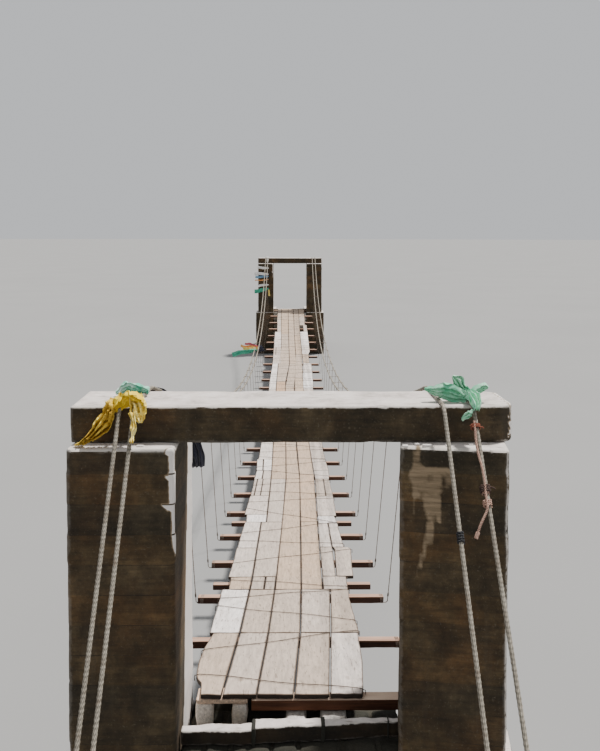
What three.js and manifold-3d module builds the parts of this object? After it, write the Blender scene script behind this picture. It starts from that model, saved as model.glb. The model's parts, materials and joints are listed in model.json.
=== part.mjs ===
// Wire-rope suspension footbridge between two concrete portals, millimetres, +Z up.
// +Y runs along the walkway from the near portal to the far one, +X is to the right.
// The origin lies at mid-span, on the level of the lowest ground under the bridge.
import * as THREE from 'three';
import { mergeVertices } from 'three/addons/utils/BufferGeometryUtils.js';
import Module from 'manifold-3d';

const wasm = await Module();
wasm.setup();

// Driving dimensions
const SPAN = 30000; // between the middle lines of the two lintels
const JOINT_GAP = 0.3; // left between pieces that touch
const LINTEL_TOP = 4200;
const LINTEL_WIDTH = 2820;
const LINTEL_DEPTH = 490;
const LINTEL_THICKNESS = 235;
const LINTEL_CHAMFER = 18;
const PORTAL_WIDTH = 2800; // over the outer faces of the piers
const PIER_WIDTH = 670;
const PIER_DEPTH = 885;
const PIER_SHIFT = 55; // the piers stand this much nearer the river than the lintel
const PIER_CHAMFER = 34;
const NEAR_RIGHT_PIER_TURN = -8.5; // degrees, seen from above
const FAR_PORTAL_SHIFT = -50; // the far portal stands this much to the left
const PEDESTAL_TOP = 1820;
const PEDESTAL_STEP = 90; // how far a pedestal stands out past its pier
const SILL_THICKNESS = 110;
const SILL_DEPTH = 150;
const SILL_LIP = 5; // the deck ends this much above the sills
const NEAR_DECK_END = 2100; // walking surface beside each portal
const FAR_DECK_END = 1925;
const DECK_SAG = 1110; // at mid-span, below the line between the two ends
const DECK_HALF_LENGTH = 14850;
const DECK_COURSES = 13;
const PLANKS_ACROSS = 5;
const PLANK_WIDTH = 245;
const PLANK_GAP = 12;
const PLANK_THICKNESS = 38;
const COURSE_GAP = 4; // between the plank ends of two courses
const BEARER_LENGTH = 1850;
const BEARER_WIDTH = 95;
const BEARER_HEIGHT = 62;
const CROSS_BEAM_WIDTH = 150;
const CROSS_BEAM_HEIGHT = 90;
const ROPE_DIAMETER = 28;
const ROPE_SIDES = 8;
const ROPE_BEND_RADIUS = 140; // where a rope turns down to the anchors
const SPAN_BEND_RADIUS = 650; // where it turns down to the span
const ROPE_BEND_INSET = LINTEL_CHAMFER; // both bends start where the flat top of a lintel ends
const HANGER_DIAMETER = 10;
const HANGER_SIDES = 6;
const HANGER_OFFSET = 14; // between a hanger and the end of its bearer
const HANGER_FOOT = 70; // how far the foot of a hanger reaches in under the bearer
const HANGER_HOOK = 45; // how far its top end turns down inside the ropes
const HANGER_CORNER = 12; // how far from a corner its bend starts
const ANCHOR_TOP = 1750;
const ANCHOR_WIDTH = 760;
const ANCHOR_LENGTH = 1150;
const ROPE_SOCKET_DEPTH = 220;
const ROPE_SAG = 2100; // below the lintel tops, at mid-span
const ROPE_PINCH = 110; // how far the hangers pull the ropes in towards the deck at mid-span

// Every rope: its place across the bridge at each portal, and the slope of its backstays below
// the level, in degrees
const ROPES = {
  leftOuter: { name: 'left_outer_rope', nearX: -1082, farX: -1130, slope: 55 },
  leftInner: { name: 'left_inner_rope', nearX: -993, farX: -1030, slope: 54 },
  rightInner: { name: 'right_inner_rope', nearX: 948, farX: 930, slope: 51 },
  rightOuter: { name: 'right_outer_rope', nearX: 1134, farX: 1050, slope: 50 },
};

// How far each side of a course stands in from the even edge, left and right, near to far
const EDGE_INSETS = [
  [-40, 62], [-30, 20], [12, 14], [0, -60], [-20, -12], [14, -22], [20, 4],
  [24, 30], [-14, 6], [-8, -20], [30, -24], [0, -16], [22, 40],
];

const COLOURS = {
  concrete: new THREE.MeshStandardMaterial({ color: 0x77725f, roughness: 0.92, metalness: 0 }),
  masonry: new THREE.MeshStandardMaterial({ color: 0x8d877a, roughness: 0.95, metalness: 0 }),
  planks: new THREE.MeshStandardMaterial({ color: 0xa79a8a, roughness: 0.9, metalness: 0 }),
  bearers: new THREE.MeshStandardMaterial({ color: 0x7a5546, roughness: 0.88, metalness: 0 }),
  rope: new THREE.MeshStandardMaterial({ color: 0xa59b86, roughness: 0.6, metalness: 0.5 }),
  yellowCloth: new THREE.MeshStandardMaterial({ color: 0xc99a2e, roughness: 0.9, metalness: 0 }),
  greenCloth: new THREE.MeshStandardMaterial({ color: 0x5fae8d, roughness: 0.9, metalness: 0 }),
  mintCloth: new THREE.MeshStandardMaterial({ color: 0x8fcfae, roughness: 0.9, metalness: 0 }),
  navyCloth: new THREE.MeshStandardMaterial({ color: 0x161a2e, roughness: 0.95, metalness: 0 }),
  tieRope: new THREE.MeshStandardMaterial({ color: 0x9a6a58, roughness: 0.9, metalness: 0 }),
  flagCloth: new THREE.MeshStandardMaterial({ color: 0x9aa7c7, roughness: 0.9, metalness: 0 }),
};

const bridge = new THREE.Group();

function addPiece(name, geometry, material) {
  const mesh = new THREE.Mesh(geometry, material.clone());
  mesh.name = name;
  bridge.add(mesh);
  return mesh;
}

// Solids for cutting and joining
function toSolid(geometry) {
  const bare = geometry.index ? geometry.toNonIndexed() : geometry.clone();
  bare.deleteAttribute('normal');
  bare.deleteAttribute('uv');
  const merged = mergeVertices(bare, 1e-3);
  const mesh = new wasm.Mesh({
    numProp: 3,
    vertProperties: new Float32Array(merged.attributes.position.array),
    triVerts: new Uint32Array(merged.index.array),
  });
  return new wasm.Manifold(mesh);
}

function toGeometry(solid) {
  const mesh = solid.getMesh();
  const geometry = new THREE.BufferGeometry();
  geometry.setAttribute('position', new THREE.BufferAttribute(mesh.vertProperties, 3));
  geometry.setIndex(new THREE.BufferAttribute(mesh.triVerts, 1));
  geometry.computeVertexNormals();
  return geometry;
}

function joined(geometries) {
  return toGeometry(geometries.map(toSolid).reduce((whole, solid) => whole.add(solid)));
}

function boxBetween(x0, x1, y0, y1, z0, z1) {
  const box = new THREE.BoxGeometry(x1 - x0, y1 - y0, z1 - z0);
  return box.translate((x0 + x1) / 2, (y0 + y1) / 2, (z0 + z1) / 2);
}

function uprightPrism(outline, z0, z1) {
  const shape = new THREE.Shape(outline.map(([x, y]) => new THREE.Vector2(x, y)));
  const prism = new THREE.ExtrudeGeometry(shape, { depth: z1 - z0, bevelEnabled: false });
  return prism.translate(0, 0, z0);
}

// A side view drawn in Y and Z, pushed along X
function sidewaysPrism(outline, x0, x1) {
  const shape = new THREE.Shape(outline.map(([y, z]) => new THREE.Vector2(y, z)));
  const prism = new THREE.ExtrudeGeometry(shape, { depth: x1 - x0, bevelEnabled: false });
  const turn = new THREE.Matrix4().makeBasis(
    new THREE.Vector3(0, 1, 0),
    new THREE.Vector3(0, 0, 1),
    new THREE.Vector3(1, 0, 0),
  );
  return prism.applyMatrix4(turn).translate(x0, 0, 0);
}

function chamferedRectangle(width, depth, chamfer) {
  const x = width / 2;
  const y = depth / 2;
  return [
    [-x + chamfer, -y], [x - chamfer, -y], [x, -y + chamfer], [x, y - chamfer],
    [x - chamfer, y], [-x + chamfer, y], [-x, y - chamfer], [-x, -y + chamfer],
  ];
}

// Each end of the bridge: the middle of its lintel and the way from there to the river
const ENDS = {
  near: { y: -SPAN / 2, toRiver: 1, shift: 0, deckTop: NEAR_DECK_END },
  far: { y: SPAN / 2, toRiver: -1, shift: FAR_PORTAL_SHIFT, deckTop: FAR_DECK_END },
};

const LINTEL_BOTTOM = LINTEL_TOP - LINTEL_THICKNESS;
const PIER_TOP = LINTEL_BOTTOM - JOINT_GAP;
const PIER_MIDDLE = (PORTAL_WIDTH - PIER_WIDTH) / 2;
const PIER_INNER = PIER_MIDDLE - PIER_WIDTH / 2;

// A pier is one pour with its pedestal, which stands out past it on the outer side and in front
function pierSolid(side) {
  const shaft = uprightPrism(
    chamferedRectangle(PIER_WIDTH, PIER_DEPTH, PIER_CHAMFER), PEDESTAL_TOP / 2, PIER_TOP,
  );
  const inner = -side * (PIER_WIDTH / 2);
  const outer = side * (PIER_WIDTH / 2 + PEDESTAL_STEP);
  const reach = PIER_DEPTH / 2 + PEDESTAL_STEP;
  const pedestal = boxBetween(
    Math.min(inner, outer), Math.max(inner, outer), -reach, reach, 0, PEDESTAL_TOP,
  );
  return toSolid(shaft).add(toSolid(pedestal));
}

function addPier(name, end, side, turn) {
  const pier = addPiece(name, toGeometry(pierSolid(side)), COLOURS.concrete);
  pier.position.set(end.shift + side * PIER_MIDDLE, end.y + end.toRiver * PIER_SHIFT, 0);
  pier.rotation.z = THREE.MathUtils.degToRad(turn);
}

function addLintel(name, end) {
  const y = LINTEL_DEPTH / 2;
  const c = LINTEL_CHAMFER;
  const section = [
    [-y, LINTEL_BOTTOM], [y, LINTEL_BOTTOM], [y, LINTEL_TOP - c],
    [y - c, LINTEL_TOP], [-y + c, LINTEL_TOP], [-y, LINTEL_TOP - c],
  ];
  const lintel = addPiece(
    name, sidewaysPrism(section, -LINTEL_WIDTH / 2, LINTEL_WIDTH / 2), COLOURS.concrete,
  );
  lintel.position.set(end.shift, end.y, 0);
}

addPier('near_left_pier', ENDS.near, -1, 0);
addPier('near_right_pier', ENDS.near, 1, NEAR_RIGHT_PIER_TURN);
addPier('far_left_pier', ENDS.far, -1, 0);
addPier('far_right_pier', ENDS.far, 1, 0);
addLintel('near_lintel', ENDS.near);
addLintel('far_lintel', ENDS.far);

// Where the inner face of the turned pier stands at a distance from the middle of that pier
function turnedPierInnerX(fromMiddle) {
  const turn = THREE.MathUtils.degToRad(NEAR_RIGHT_PIER_TURN);
  return PIER_MIDDLE - PIER_WIDTH / 2 / Math.cos(turn) - fromMiddle * Math.tan(turn);
}

// The deck hangs in a shallow curve between its two ends, built from straight courses of planks
const DECK_RISE = (FAR_DECK_END - NEAR_DECK_END) / 2;

function deckTop(y) {
  const place = y / DECK_HALF_LENGTH;
  return (NEAR_DECK_END + FAR_DECK_END) / 2 + DECK_RISE * place - DECK_SAG * (1 - place ** 2);
}

function deckSlope(y) {
  return (DECK_RISE + 2 * DECK_SAG * y / DECK_HALF_LENGTH) / DECK_HALF_LENGTH;
}

const COURSE_LENGTH = 2 * DECK_HALF_LENGTH / DECK_COURSES;
const courseStart = (index) => -DECK_HALF_LENGTH + index * COURSE_LENGTH;

// The planks slope down from their ends, so they bear on the river edge of a cross beam
const BEAM_OVERLAP = 35; // how far the planks lie on a cross beam
for (const end of Object.values(ENDS)) {
  const start = -end.toRiver * DECK_HALF_LENGTH;
  const drop = end.deckTop - deckTop(start + end.toRiver * COURSE_LENGTH);
  const slope = Math.atan2(drop, COURSE_LENGTH);
  end.beamTop = end.deckTop - BEAM_OVERLAP * Math.tan(slope) - PLANK_THICKNESS / Math.cos(slope)
    - JOINT_GAP;
  end.beamBottom = end.beamTop - CROSS_BEAM_HEIGHT;
  end.sillTop = end.deckTop - SILL_LIP;
  end.sillBottom = end.sillTop - SILL_THICKNESS;
}
const ABUTMENT_HALF = PIER_DEPTH / 2 + PEDESTAL_STEP;

// The masonry between the pedestals: a wall under the sill, a step behind it, and seats on the
// step for the cross beam
const NEAR_STEP_TOP = 1855;
const WALL_BACK = 360; // from the landward face of the masonry to the back of the wall
const NEAR_SEATS = [[-400, -230], [360, 560]];

function abutmentBlocks(x0, x1, end, stepTop, seats) {
  const land = end.y + end.toRiver * (PIER_SHIFT - ABUTMENT_HALF);
  const wall = land + end.toRiver * WALL_BACK;
  const river = end.y + end.toRiver * (PIER_SHIFT + ABUTMENT_HALF);
  const along = (a, b) => [Math.min(a, b), Math.max(a, b)];
  const blocks = [
    boxBetween(x0, x1, ...along(land, river), 0, stepTop),
    boxBetween(x0, x1, ...along(land, wall), stepTop / 2, end.sillBottom - JOINT_GAP),
  ];
  for (const [left, right] of seats) {
    const seatBack = end.y + end.toRiver * 330;
    blocks.push(boxBetween(
      left, right, ...along(end.y, seatBack), stepTop / 2, end.beamBottom - JOINT_GAP,
    ));
  }
  return blocks;
}

const NEAR_MASONRY_RIGHT = turnedPierInnerX(-ABUTMENT_HALF) - 6;
addPiece(
  'near_abutment',
  joined(abutmentBlocks(-PIER_INNER + JOINT_GAP, NEAR_MASONRY_RIGHT, ENDS.near, NEAR_STEP_TOP,
    NEAR_SEATS)),
  COLOURS.masonry,
);
addPiece(
  'far_abutment',
  joined(abutmentBlocks(
    FAR_PORTAL_SHIFT - PIER_INNER + JOINT_GAP, FAR_PORTAL_SHIFT + PIER_INNER - JOINT_GAP,
    ENDS.far, ENDS.far.beamBottom - JOINT_GAP, [],
  )),
  COLOURS.masonry,
);

// The near sill lies askew in the doorway, with a broken edge
const NEAR_SILL_FRONT = [
  [-726, -15240], [-505, -15212], [-498, -15188], [-470, -15184], [-462, -15208], [-120, -15160],
  [62, -15140], [70, -15112], [98, -15108], [106, -15136], [420, -15096], [545, -15076],
  [655, -15082],
];
const NEAR_SILL_BACK = [[655, -14980], [-726, -15240 + SILL_DEPTH]];
addPiece(
  'near_sill',
  uprightPrism(
    [...NEAR_SILL_FRONT, ...NEAR_SILL_BACK], ENDS.near.sillBottom, ENDS.near.sillTop,
  ),
  COLOURS.concrete,
);
const FAR_SILL_FRONT = SPAN / 2 + 60;
addPiece(
  'far_sill',
  boxBetween(
    FAR_PORTAL_SHIFT - PIER_INNER + 2, FAR_PORTAL_SHIFT + PIER_INNER - 2,
    FAR_SILL_FRONT, FAR_SILL_FRONT + SILL_DEPTH, ENDS.far.sillBottom, ENDS.far.sillTop,
  ),
  COLOURS.concrete,
);

// The cross beams that carry the two ends of the deck
const NEAR_BEAM_Y = -DECK_HALF_LENGTH + BEAM_OVERLAP - CROSS_BEAM_WIDTH;
addPiece(
  'near_cross_beam',
  boxBetween(
    -400, 700, NEAR_BEAM_Y, NEAR_BEAM_Y + CROSS_BEAM_WIDTH, ENDS.near.beamBottom,
    ENDS.near.beamTop,
  ),
  COLOURS.bearers,
);
const FAR_BEAM_Y = DECK_HALF_LENGTH - BEAM_OVERLAP;
addPiece(
  'far_cross_beam',
  boxBetween(
    -770, 660, FAR_BEAM_Y, FAR_BEAM_Y + CROSS_BEAM_WIDTH, ENDS.far.beamBottom, ENDS.far.beamTop,
  ),
  COLOURS.bearers,
);

// A flat slab on two stones takes the left side of the planks at the near end
const SLAB_THICKNESS = 48;
const SLAB_BOTTOM = ENDS.near.beamTop - SLAB_THICKNESS;
const STONE_BOTTOM = NEAR_STEP_TOP + JOINT_GAP;
addPiece(
  'near_seat_stones',
  joined([
    uprightPrism(
      [[-722, -14985], [-560, -15012], [-412, -14990], [-408, -14820], [-560, -14816],
        [-716, -14822]],
      SLAB_BOTTOM, ENDS.near.beamTop,
    ),
    uprightPrism(
      [[-705, -14965], [-610, -14975], [-596, -14830], [-700, -14825]],
      STONE_BOTTOM, SLAB_BOTTOM + SLAB_THICKNESS / 2,
    ),
    uprightPrism(
      [[-520, -14985], [-428, -14970], [-424, -14835], [-515, -14826]],
      STONE_BOTTOM, SLAB_BOTTOM + SLAB_THICKNESS / 2,
    ),
  ]),
  COLOURS.masonry,
);

const DECK_WIDTH = PLANKS_ACROSS * PLANK_WIDTH + (PLANKS_ACROSS - 1) * PLANK_GAP;

// A rope's route follows a list of stations, and the sections stand at exactly those stations
class StationCurve extends THREE.Curve {
  constructor(stations) {
    super();
    this.stations = stations;
  }

  getPoint(t) {
    const place = Math.min(Math.max(t, 0), 1) * (this.stations.length - 1);
    const index = Math.min(Math.floor(place), this.stations.length - 2);
    return this.stations[index].clone().lerp(this.stations[index + 1], place - index);
  }

  getPointAt(u) {
    return this.getPoint(u);
  }

  getTangentAt(u) {
    return this.getTangent(u);
  }
}

function roundSection(radius, sides) {
  const points = [];
  for (let side = 0; side < sides; side += 1) {
    const angle = (side + 0.5) / sides * 2 * Math.PI;
    points.push(new THREE.Vector2(radius * Math.cos(angle), radius * Math.sin(angle)));
  }
  return new THREE.Shape(points);
}

function tubeThrough(stations, diameter, sides) {
  return new THREE.ExtrudeGeometry(roundSection(diameter / 2, sides), {
    steps: stations.length - 1,
    bevelEnabled: false,
    extrudePath: new StationCurve(stations),
  });
}

// The flats of a tube lie a little nearer its middle than its corners
const flatOf = (diameter, sides) => diameter / 2 * Math.cos(Math.PI / sides);
const ROPE_FLAT = flatOf(ROPE_DIAMETER, ROPE_SIDES);
const HANGER_FLAT = flatOf(HANGER_DIAMETER, HANGER_SIDES);
const ROPE_ON_LINTEL = LINTEL_TOP + ROPE_FLAT + JOINT_GAP;
const ROPE_REACH = SPAN / 2 - LINTEL_DEPTH / 2 + ROPE_BEND_INSET; // mid-span to the flat lintel top
const BEND_STEPS = 6;
const SPAN_STEPS = 17; // in each half

// An arc that leaves the level at `start` and turns down by `angle`
function bendPoint(start, radius, angle) {
  return [start + radius * Math.sin(angle), ROPE_ON_LINTEL - radius * (1 - Math.cos(angle))];
}

// Half of a route, from mid-span to an anchor, as distance from mid-span and height
function halfRoute(rope) {
  // The span hangs in a parabola that meets the bend at the lintel's river edge
  const spanAngle = Math.atan(2 * ROPE_SAG / ROPE_REACH);
  const lastReach = ROPE_REACH - SPAN_BEND_RADIUS * Math.sin(spanAngle);
  const lastHeight = ROPE_ON_LINTEL - SPAN_BEND_RADIUS * (1 - Math.cos(spanAngle));
  const bottom = LINTEL_TOP - ROPE_SAG;
  const points = [];
  for (let step = 0; step <= SPAN_STEPS; step += 1) {
    const part = step / SPAN_STEPS;
    points.push([part * lastReach, bottom + (lastHeight - bottom) * part * part]);
  }
  for (let step = BEND_STEPS / 2 - 1; step >= 0; step -= 1) {
    points.push(bendPoint(ROPE_REACH, SPAN_BEND_RADIUS, -spanAngle * step / (BEND_STEPS / 2)));
  }
  const backStart = SPAN / 2 + LINTEL_DEPTH / 2 - ROPE_BEND_INSET;
  const backAngle = THREE.MathUtils.degToRad(rope.slope);
  for (let step = 0; step <= BEND_STEPS; step += 1) {
    points.push(bendPoint(backStart, ROPE_BEND_RADIUS, backAngle * step / BEND_STEPS));
  }
  const [bendEnd, bendEndHeight] = points[points.length - 1];
  const socket = ANCHOR_TOP - ROPE_SOCKET_DEPTH * Math.sin(backAngle);
  const run = (bendEndHeight - socket) / Math.tan(backAngle);
  points.push([bendEnd + run / 2, (bendEndHeight + socket) / 2]);
  points.push([bendEnd + run, socket]);
  return points;
}

function ropeX(rope, y) {
  const place = Math.min(Math.max(y / ROPE_REACH, -1), 1);
  const even = rope.nearX + (rope.farX - rope.nearX) * (place + 1) / 2;
  return even - Math.sign(rope.nearX) * ROPE_PINCH * (1 - place * place);
}

function ropeStations(rope) {
  const half = halfRoute(rope);
  const nearHalf = half.slice(1).reverse().map(([y, z]) => new THREE.Vector3(0, -y, z));
  const farHalf = half.map(([y, z]) => new THREE.Vector3(0, y, z));
  const stations = [...nearHalf, ...farHalf];
  for (const station of stations) {
    station.x = ropeX(rope, station.y);
  }
  return stations;
}

// Height and slope of a rope at a place along the bridge
function ropeAt(stations, y) {
  const next = stations.findIndex((station) => station.y > y);
  const a = stations[next - 1];
  const b = stations[next];
  const rise = (b.z - a.z) / (b.y - a.y);
  return { height: a.z + rise * (y - a.y), slope: Math.abs(Math.atan(rise)) };
}

for (const rope of Object.values(ROPES)) {
  rope.stations = ropeStations(rope);
  addPiece(rope.name, tubeThrough(rope.stations, ROPE_DIAMETER, ROPE_SIDES), COLOURS.rope);
}

// What a rope passes through is cut by the same route, a little fatter
function ropeClearance(rope) {
  const { stations } = rope;
  const past = (end, before) => end.clone().lerp(before, -JOINT_GAP / end.distanceTo(before));
  const last = stations.length - 1;
  const route = [
    past(stations[0], stations[1]), ...stations.slice(1, -1), past(stations[last], stations[last - 1]),
  ];
  return toSolid(tubeThrough(route, ROPE_DIAMETER + 4 * JOINT_GAP, ROPE_SIDES));
}

const clearances = Object.values(ROPES).map(ropeClearance);
const clearOfRopes = (solid) => clearances.reduce((whole, clearance) => whole.subtract(clearance), solid);

function roundedPath(points, radius) {
  const path = [points[0]];
  for (let index = 1; index < points.length - 1; index += 1) {
    const corner = points[index];
    const towards = (other) => corner.clone().lerp(
      other, Math.min(0.5, radius / corner.distanceTo(other)),
    );
    const a = towards(points[index - 1]);
    const b = towards(points[index + 1]);
    const middle = a.clone().add(b).multiplyScalar(0.25).addScaledVector(corner, 0.5);
    path.push(a, middle, b);
  }
  path.push(points[points.length - 1]);
  return path;
}

// A hanger is a wire that hooks over both ropes of a side and turns in under its bearer.
// y and under are the middle of the bearer's underside.
function hangerSolid(side, y, under) {
  const [outer, inner] = side < 0
    ? [ROPES.leftOuter, ROPES.leftInner] : [ROPES.rightOuter, ROPES.rightInner];
  const beside = ROPE_DIAMETER / 2 + HANGER_DIAMETER / 2 + 2;
  const { height, slope } = ropeAt(outer.stations, y);
  const over = height + ROPE_FLAT / Math.cos(slope) + HANGER_DIAMETER / 4 * Math.tan(slope)
    + HANGER_FLAT + 2 * JOINT_GAP;
  const outX = side * (BEARER_LENGTH / 2 + HANGER_OFFSET);
  const topOut = ropeX(outer, y) + side * beside;
  const topIn = ropeX(inner, y) - side * beside;
  const path = [
    [side * (BEARER_LENGTH / 2 - HANGER_FOOT), under], [outX, under], [topOut, over],
    [topIn, over], [topIn, over - HANGER_HOOK],
  ].map(([x, z]) => new THREE.Vector3(x, y, z));
  return toSolid(tubeThrough(roundedPath(path, HANGER_CORNER), HANGER_DIAMETER, HANGER_SIDES));
}

// A bearer lies across under the planks, its top at z = -PLANK_THICKNESS - drop in its own frame
function bearerBox(y, drop) {
  const top = -PLANK_THICKNESS - drop;
  return boxBetween(
    -BEARER_LENGTH / 2, BEARER_LENGTH / 2, y - BEARER_WIDTH / 2, y + BEARER_WIDTH / 2,
    top - BEARER_HEIGHT, top,
  );
}

// Five planks in a frame of their own, flat, from y = 0 along +Y
function plankSolids(index, length) {
  const [leftInset, rightInset] = EDGE_INSETS[index];
  const planks = [];
  for (let plank = 0; plank < PLANKS_ACROSS; plank += 1) {
    const left = -DECK_WIDTH / 2 + plank * (PLANK_WIDTH + PLANK_GAP);
    const x0 = plank === 0 ? left + leftInset : left;
    const x1 = plank === PLANKS_ACROSS - 1 ? left + PLANK_WIDTH - rightInset : left + PLANK_WIDTH;
    planks.push(toSolid(
      boxBetween(x0, x1, COURSE_GAP / 2, length - COURSE_GAP / 2, -PLANK_THICKNESS, 0),
    ));
  }
  return planks;
}

// Hangs a piece of the deck: its solids are given in a frame that is tilted about X at a place on
// the walking surface, and the two hangers are set upright through the bearer's underside
function addHungPiece(name, solids, bearerY, bearerDrop, place, tilt, material) {
  const frame = new THREE.Group();
  frame.position.set(0, place.y, place.z);
  frame.rotation.x = tilt;
  frame.updateMatrixWorld(true);
  const underside = new THREE.Vector3(0, bearerY, -PLANK_THICKNESS - bearerDrop - BEARER_HEIGHT);
  frame.localToWorld(underside);
  const toFrame = frame.matrixWorld.clone().invert().elements;
  const placed = [-1, 1].map(
    (side) => hangerSolid(side, underside.y, underside.z).transform(toFrame),
  );
  const whole = [...solids, ...placed].reduce((sum, solid) => sum.add(solid));
  frame.add(new THREE.Mesh(toGeometry(whole), material.clone()));
  frame.children[0].name = name;
  bridge.add(frame);
}

function twoDigits(number) {
  return String(number).padStart(2, '0');
}

for (let index = 0; index < DECK_COURSES; index += 1) {
  const start = { y: courseStart(index), z: deckTop(courseStart(index)) };
  const end = { y: courseStart(index + 1), z: deckTop(courseStart(index + 1)) };
  const tilt = Math.atan2(end.z - start.z, end.y - start.y);
  const length = Math.hypot(end.y - start.y, end.z - start.z);
  // The middle bearer is let into the planks by a millimetre
  const middleBearer = toSolid(bearerBox(length / 2, -1));
  addHungPiece(
    `deck_course_${twoDigits(index + 1)}`, [middleBearer, ...plankSolids(index, length)],
    length / 2, -1, start, tilt, COLOURS.planks,
  );
  if (index > 0) {
    const tangent = Math.atan(deckSlope(start.y));
    addHungPiece(
      `bearer_${twoDigits(index)}`, [toSolid(bearerBox(0, JOINT_GAP))],
      0, JOINT_GAP, start, tangent, COLOURS.bearers,
    );
  }
}

// The anchor blocks take both ropes of a side
function addAnchor(name, ropes, toLand) {
  const ends = ropes.map(({ stations }) => (toLand < 0 ? stations[0] : stations[stations.length - 1]));
  const middleX = (ends[0].x + ends[1].x) / 2;
  const middleY = (ends[0].y + ends[1].y) / 2 + toLand * ANCHOR_LENGTH / 8;
  const block = boxBetween(
    middleX - ANCHOR_WIDTH / 2, middleX + ANCHOR_WIDTH / 2,
    middleY - ANCHOR_LENGTH / 2, middleY + ANCHOR_LENGTH / 2, 0, ANCHOR_TOP,
  );
  addPiece(name, toGeometry(clearOfRopes(toSolid(block))), COLOURS.concrete);
}

const LEFT_ROPES = [ROPES.leftOuter, ROPES.leftInner];
const RIGHT_ROPES = [ROPES.rightOuter, ROPES.rightInner];
addAnchor('near_left_anchor', LEFT_ROPES, -1);
addAnchor('near_right_anchor', RIGHT_ROPES, -1);
addAnchor('far_left_anchor', LEFT_ROPES, 1);
addAnchor('far_right_anchor', RIGHT_ROPES, 1);

// Cloths are plain solids, drawn in X and Z and as thick as the folds they stand for
function frontPrism(outline, y0, y1) {
  const shape = new THREE.Shape(outline.map(([x, z]) => new THREE.Vector2(x, z)));
  const prism = new THREE.ExtrudeGeometry(shape, { depth: y1 - y0, bevelEnabled: false });
  return prism.rotateX(Math.PI / 2).translate(0, y1, 0);
}

function addCloth(name, solids, material) {
  const whole = solids.map(clearOfRopes).reduce((sum, solid) => sum.add(solid));
  addPiece(name, toGeometry(whole), material);
}

const NEAR_FRONT = -SPAN / 2 - LINTEL_DEPTH / 2 - JOINT_GAP;
const ON_LINTEL = LINTEL_TOP + JOINT_GAP;

// The yellow scarf is knotted over both left ropes at the front edge, with one tail to the side
const YELLOW_OVER = [
  [-1140, ON_LINTEL], [-1090, 4262], [-900, 4268], [-880, ON_LINTEL],
];
const YELLOW_HANGING = [
  [-1140, 4240], [-890, 4240], [-925, 4095], [-970, 3985], [-1000, 3985], [-1010, 4120],
  [-1050, 4180], [-1130, 4088], [-1235, 3985], [-1300, 3972], [-1220, 4095],
];
addCloth('near_left_scarf', [
  toSolid(frontPrism(YELLOW_OVER, NEAR_FRONT - 40, NEAR_FRONT + 190)),
  toSolid(frontPrism(YELLOW_HANGING, NEAR_FRONT - 40, NEAR_FRONT)),
], COLOURS.yellowCloth);

// A pale rag hangs down the river face of the far lintel where the left rope crosses it
const FAR_RAG_FACE = SPAN / 2 - LINTEL_DEPTH / 2 - JOINT_GAP;
addCloth('far_left_rag', [toSolid(frontPrism(
  [[-1090, 4170], [-1090, 4260], [-1005, 4260], [-1005, 4170], [-1015, 3972], [-1070, 3990]],
  FAR_RAG_FACE - 30, FAR_RAG_FACE,
))], COLOURS.mintCloth);

const GREEN_RAG = [
  [-1185, ON_LINTEL], [-1180, 4270], [-1110, 4290], [-940, 4272], [-905, ON_LINTEL],
];
addCloth(
  'near_left_rag', [toSolid(frontPrism(GREEN_RAG, -15000, -14860))], COLOURS.greenCloth,
);

// The mint scarf is tied over both right ropes, with one end that stands up
const MINT_OVER = [
  [860, ON_LINTEL], [866, 4270], [960, 4292], [1036, 4310], [1046, 4372], [1126, 4362],
  [1178, 4312], [1280, 4318], [1290, 4280], [1215, ON_LINTEL],
];
const MINT_HANGING = [
  [1080, 4230], [1225, 4230], [1222, 4150], [1150, 4172], [1086, 4110],
];
addCloth('near_right_scarf', [
  toSolid(frontPrism(MINT_OVER, NEAR_FRONT - 30, NEAR_FRONT + 220)),
  toSolid(frontPrism(MINT_HANGING, NEAR_FRONT - 30, NEAR_FRONT)),
], COLOURS.mintCloth);

// A dark cloth hangs from the left ropes behind the near portal
addCloth('near_left_cloth', [toSolid(frontPrism(
  [[-1135, 4040], [-1120, 4110], [-960, 4110], [-670, 3900], [-665, 3560], [-760, 3520],
    [-800, 3780]],
  -14312, -14300,
))], COLOURS.navyCloth);

// A string of flags hangs in front of the far left pier, and the flags stream to the left
const FAR_FLAG_HEIGHTS = [3750, 3470, 3300, 3080, 2880];
const FAR_FLAG_STRING = [
  [-1045, 4150], [-965, 4150], [-965, 2600], [-1005, 2600], [-1045, 2760],
];
const farFlag = (z) => [[-1040, z + 55], [-1040, z - 55], [-1530, z - 30], [-1530, z + 20]];
addCloth('far_left_flags', [
  toSolid(frontPrism(FAR_FLAG_STRING, 14440, 14452)),
  ...FAR_FLAG_HEIGHTS.map((z) => toSolid(frontPrism(farFlag(z), 14440, 14452))),
], COLOURS.flagCloth);

// More flags are tied to the left ropes at mid-span
const MID_FLAG_PLAN = [
  [-860, 1220], [-860, 2230], [-1180, 2220], [-1530, 1950], [-1530, 1300], [-1400, 1190],
];
addCloth('left_rope_flags', [toSolid(uprightPrism(MID_FLAG_PLAN, 2080, 2140))], COLOURS.flagCloth);

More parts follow.
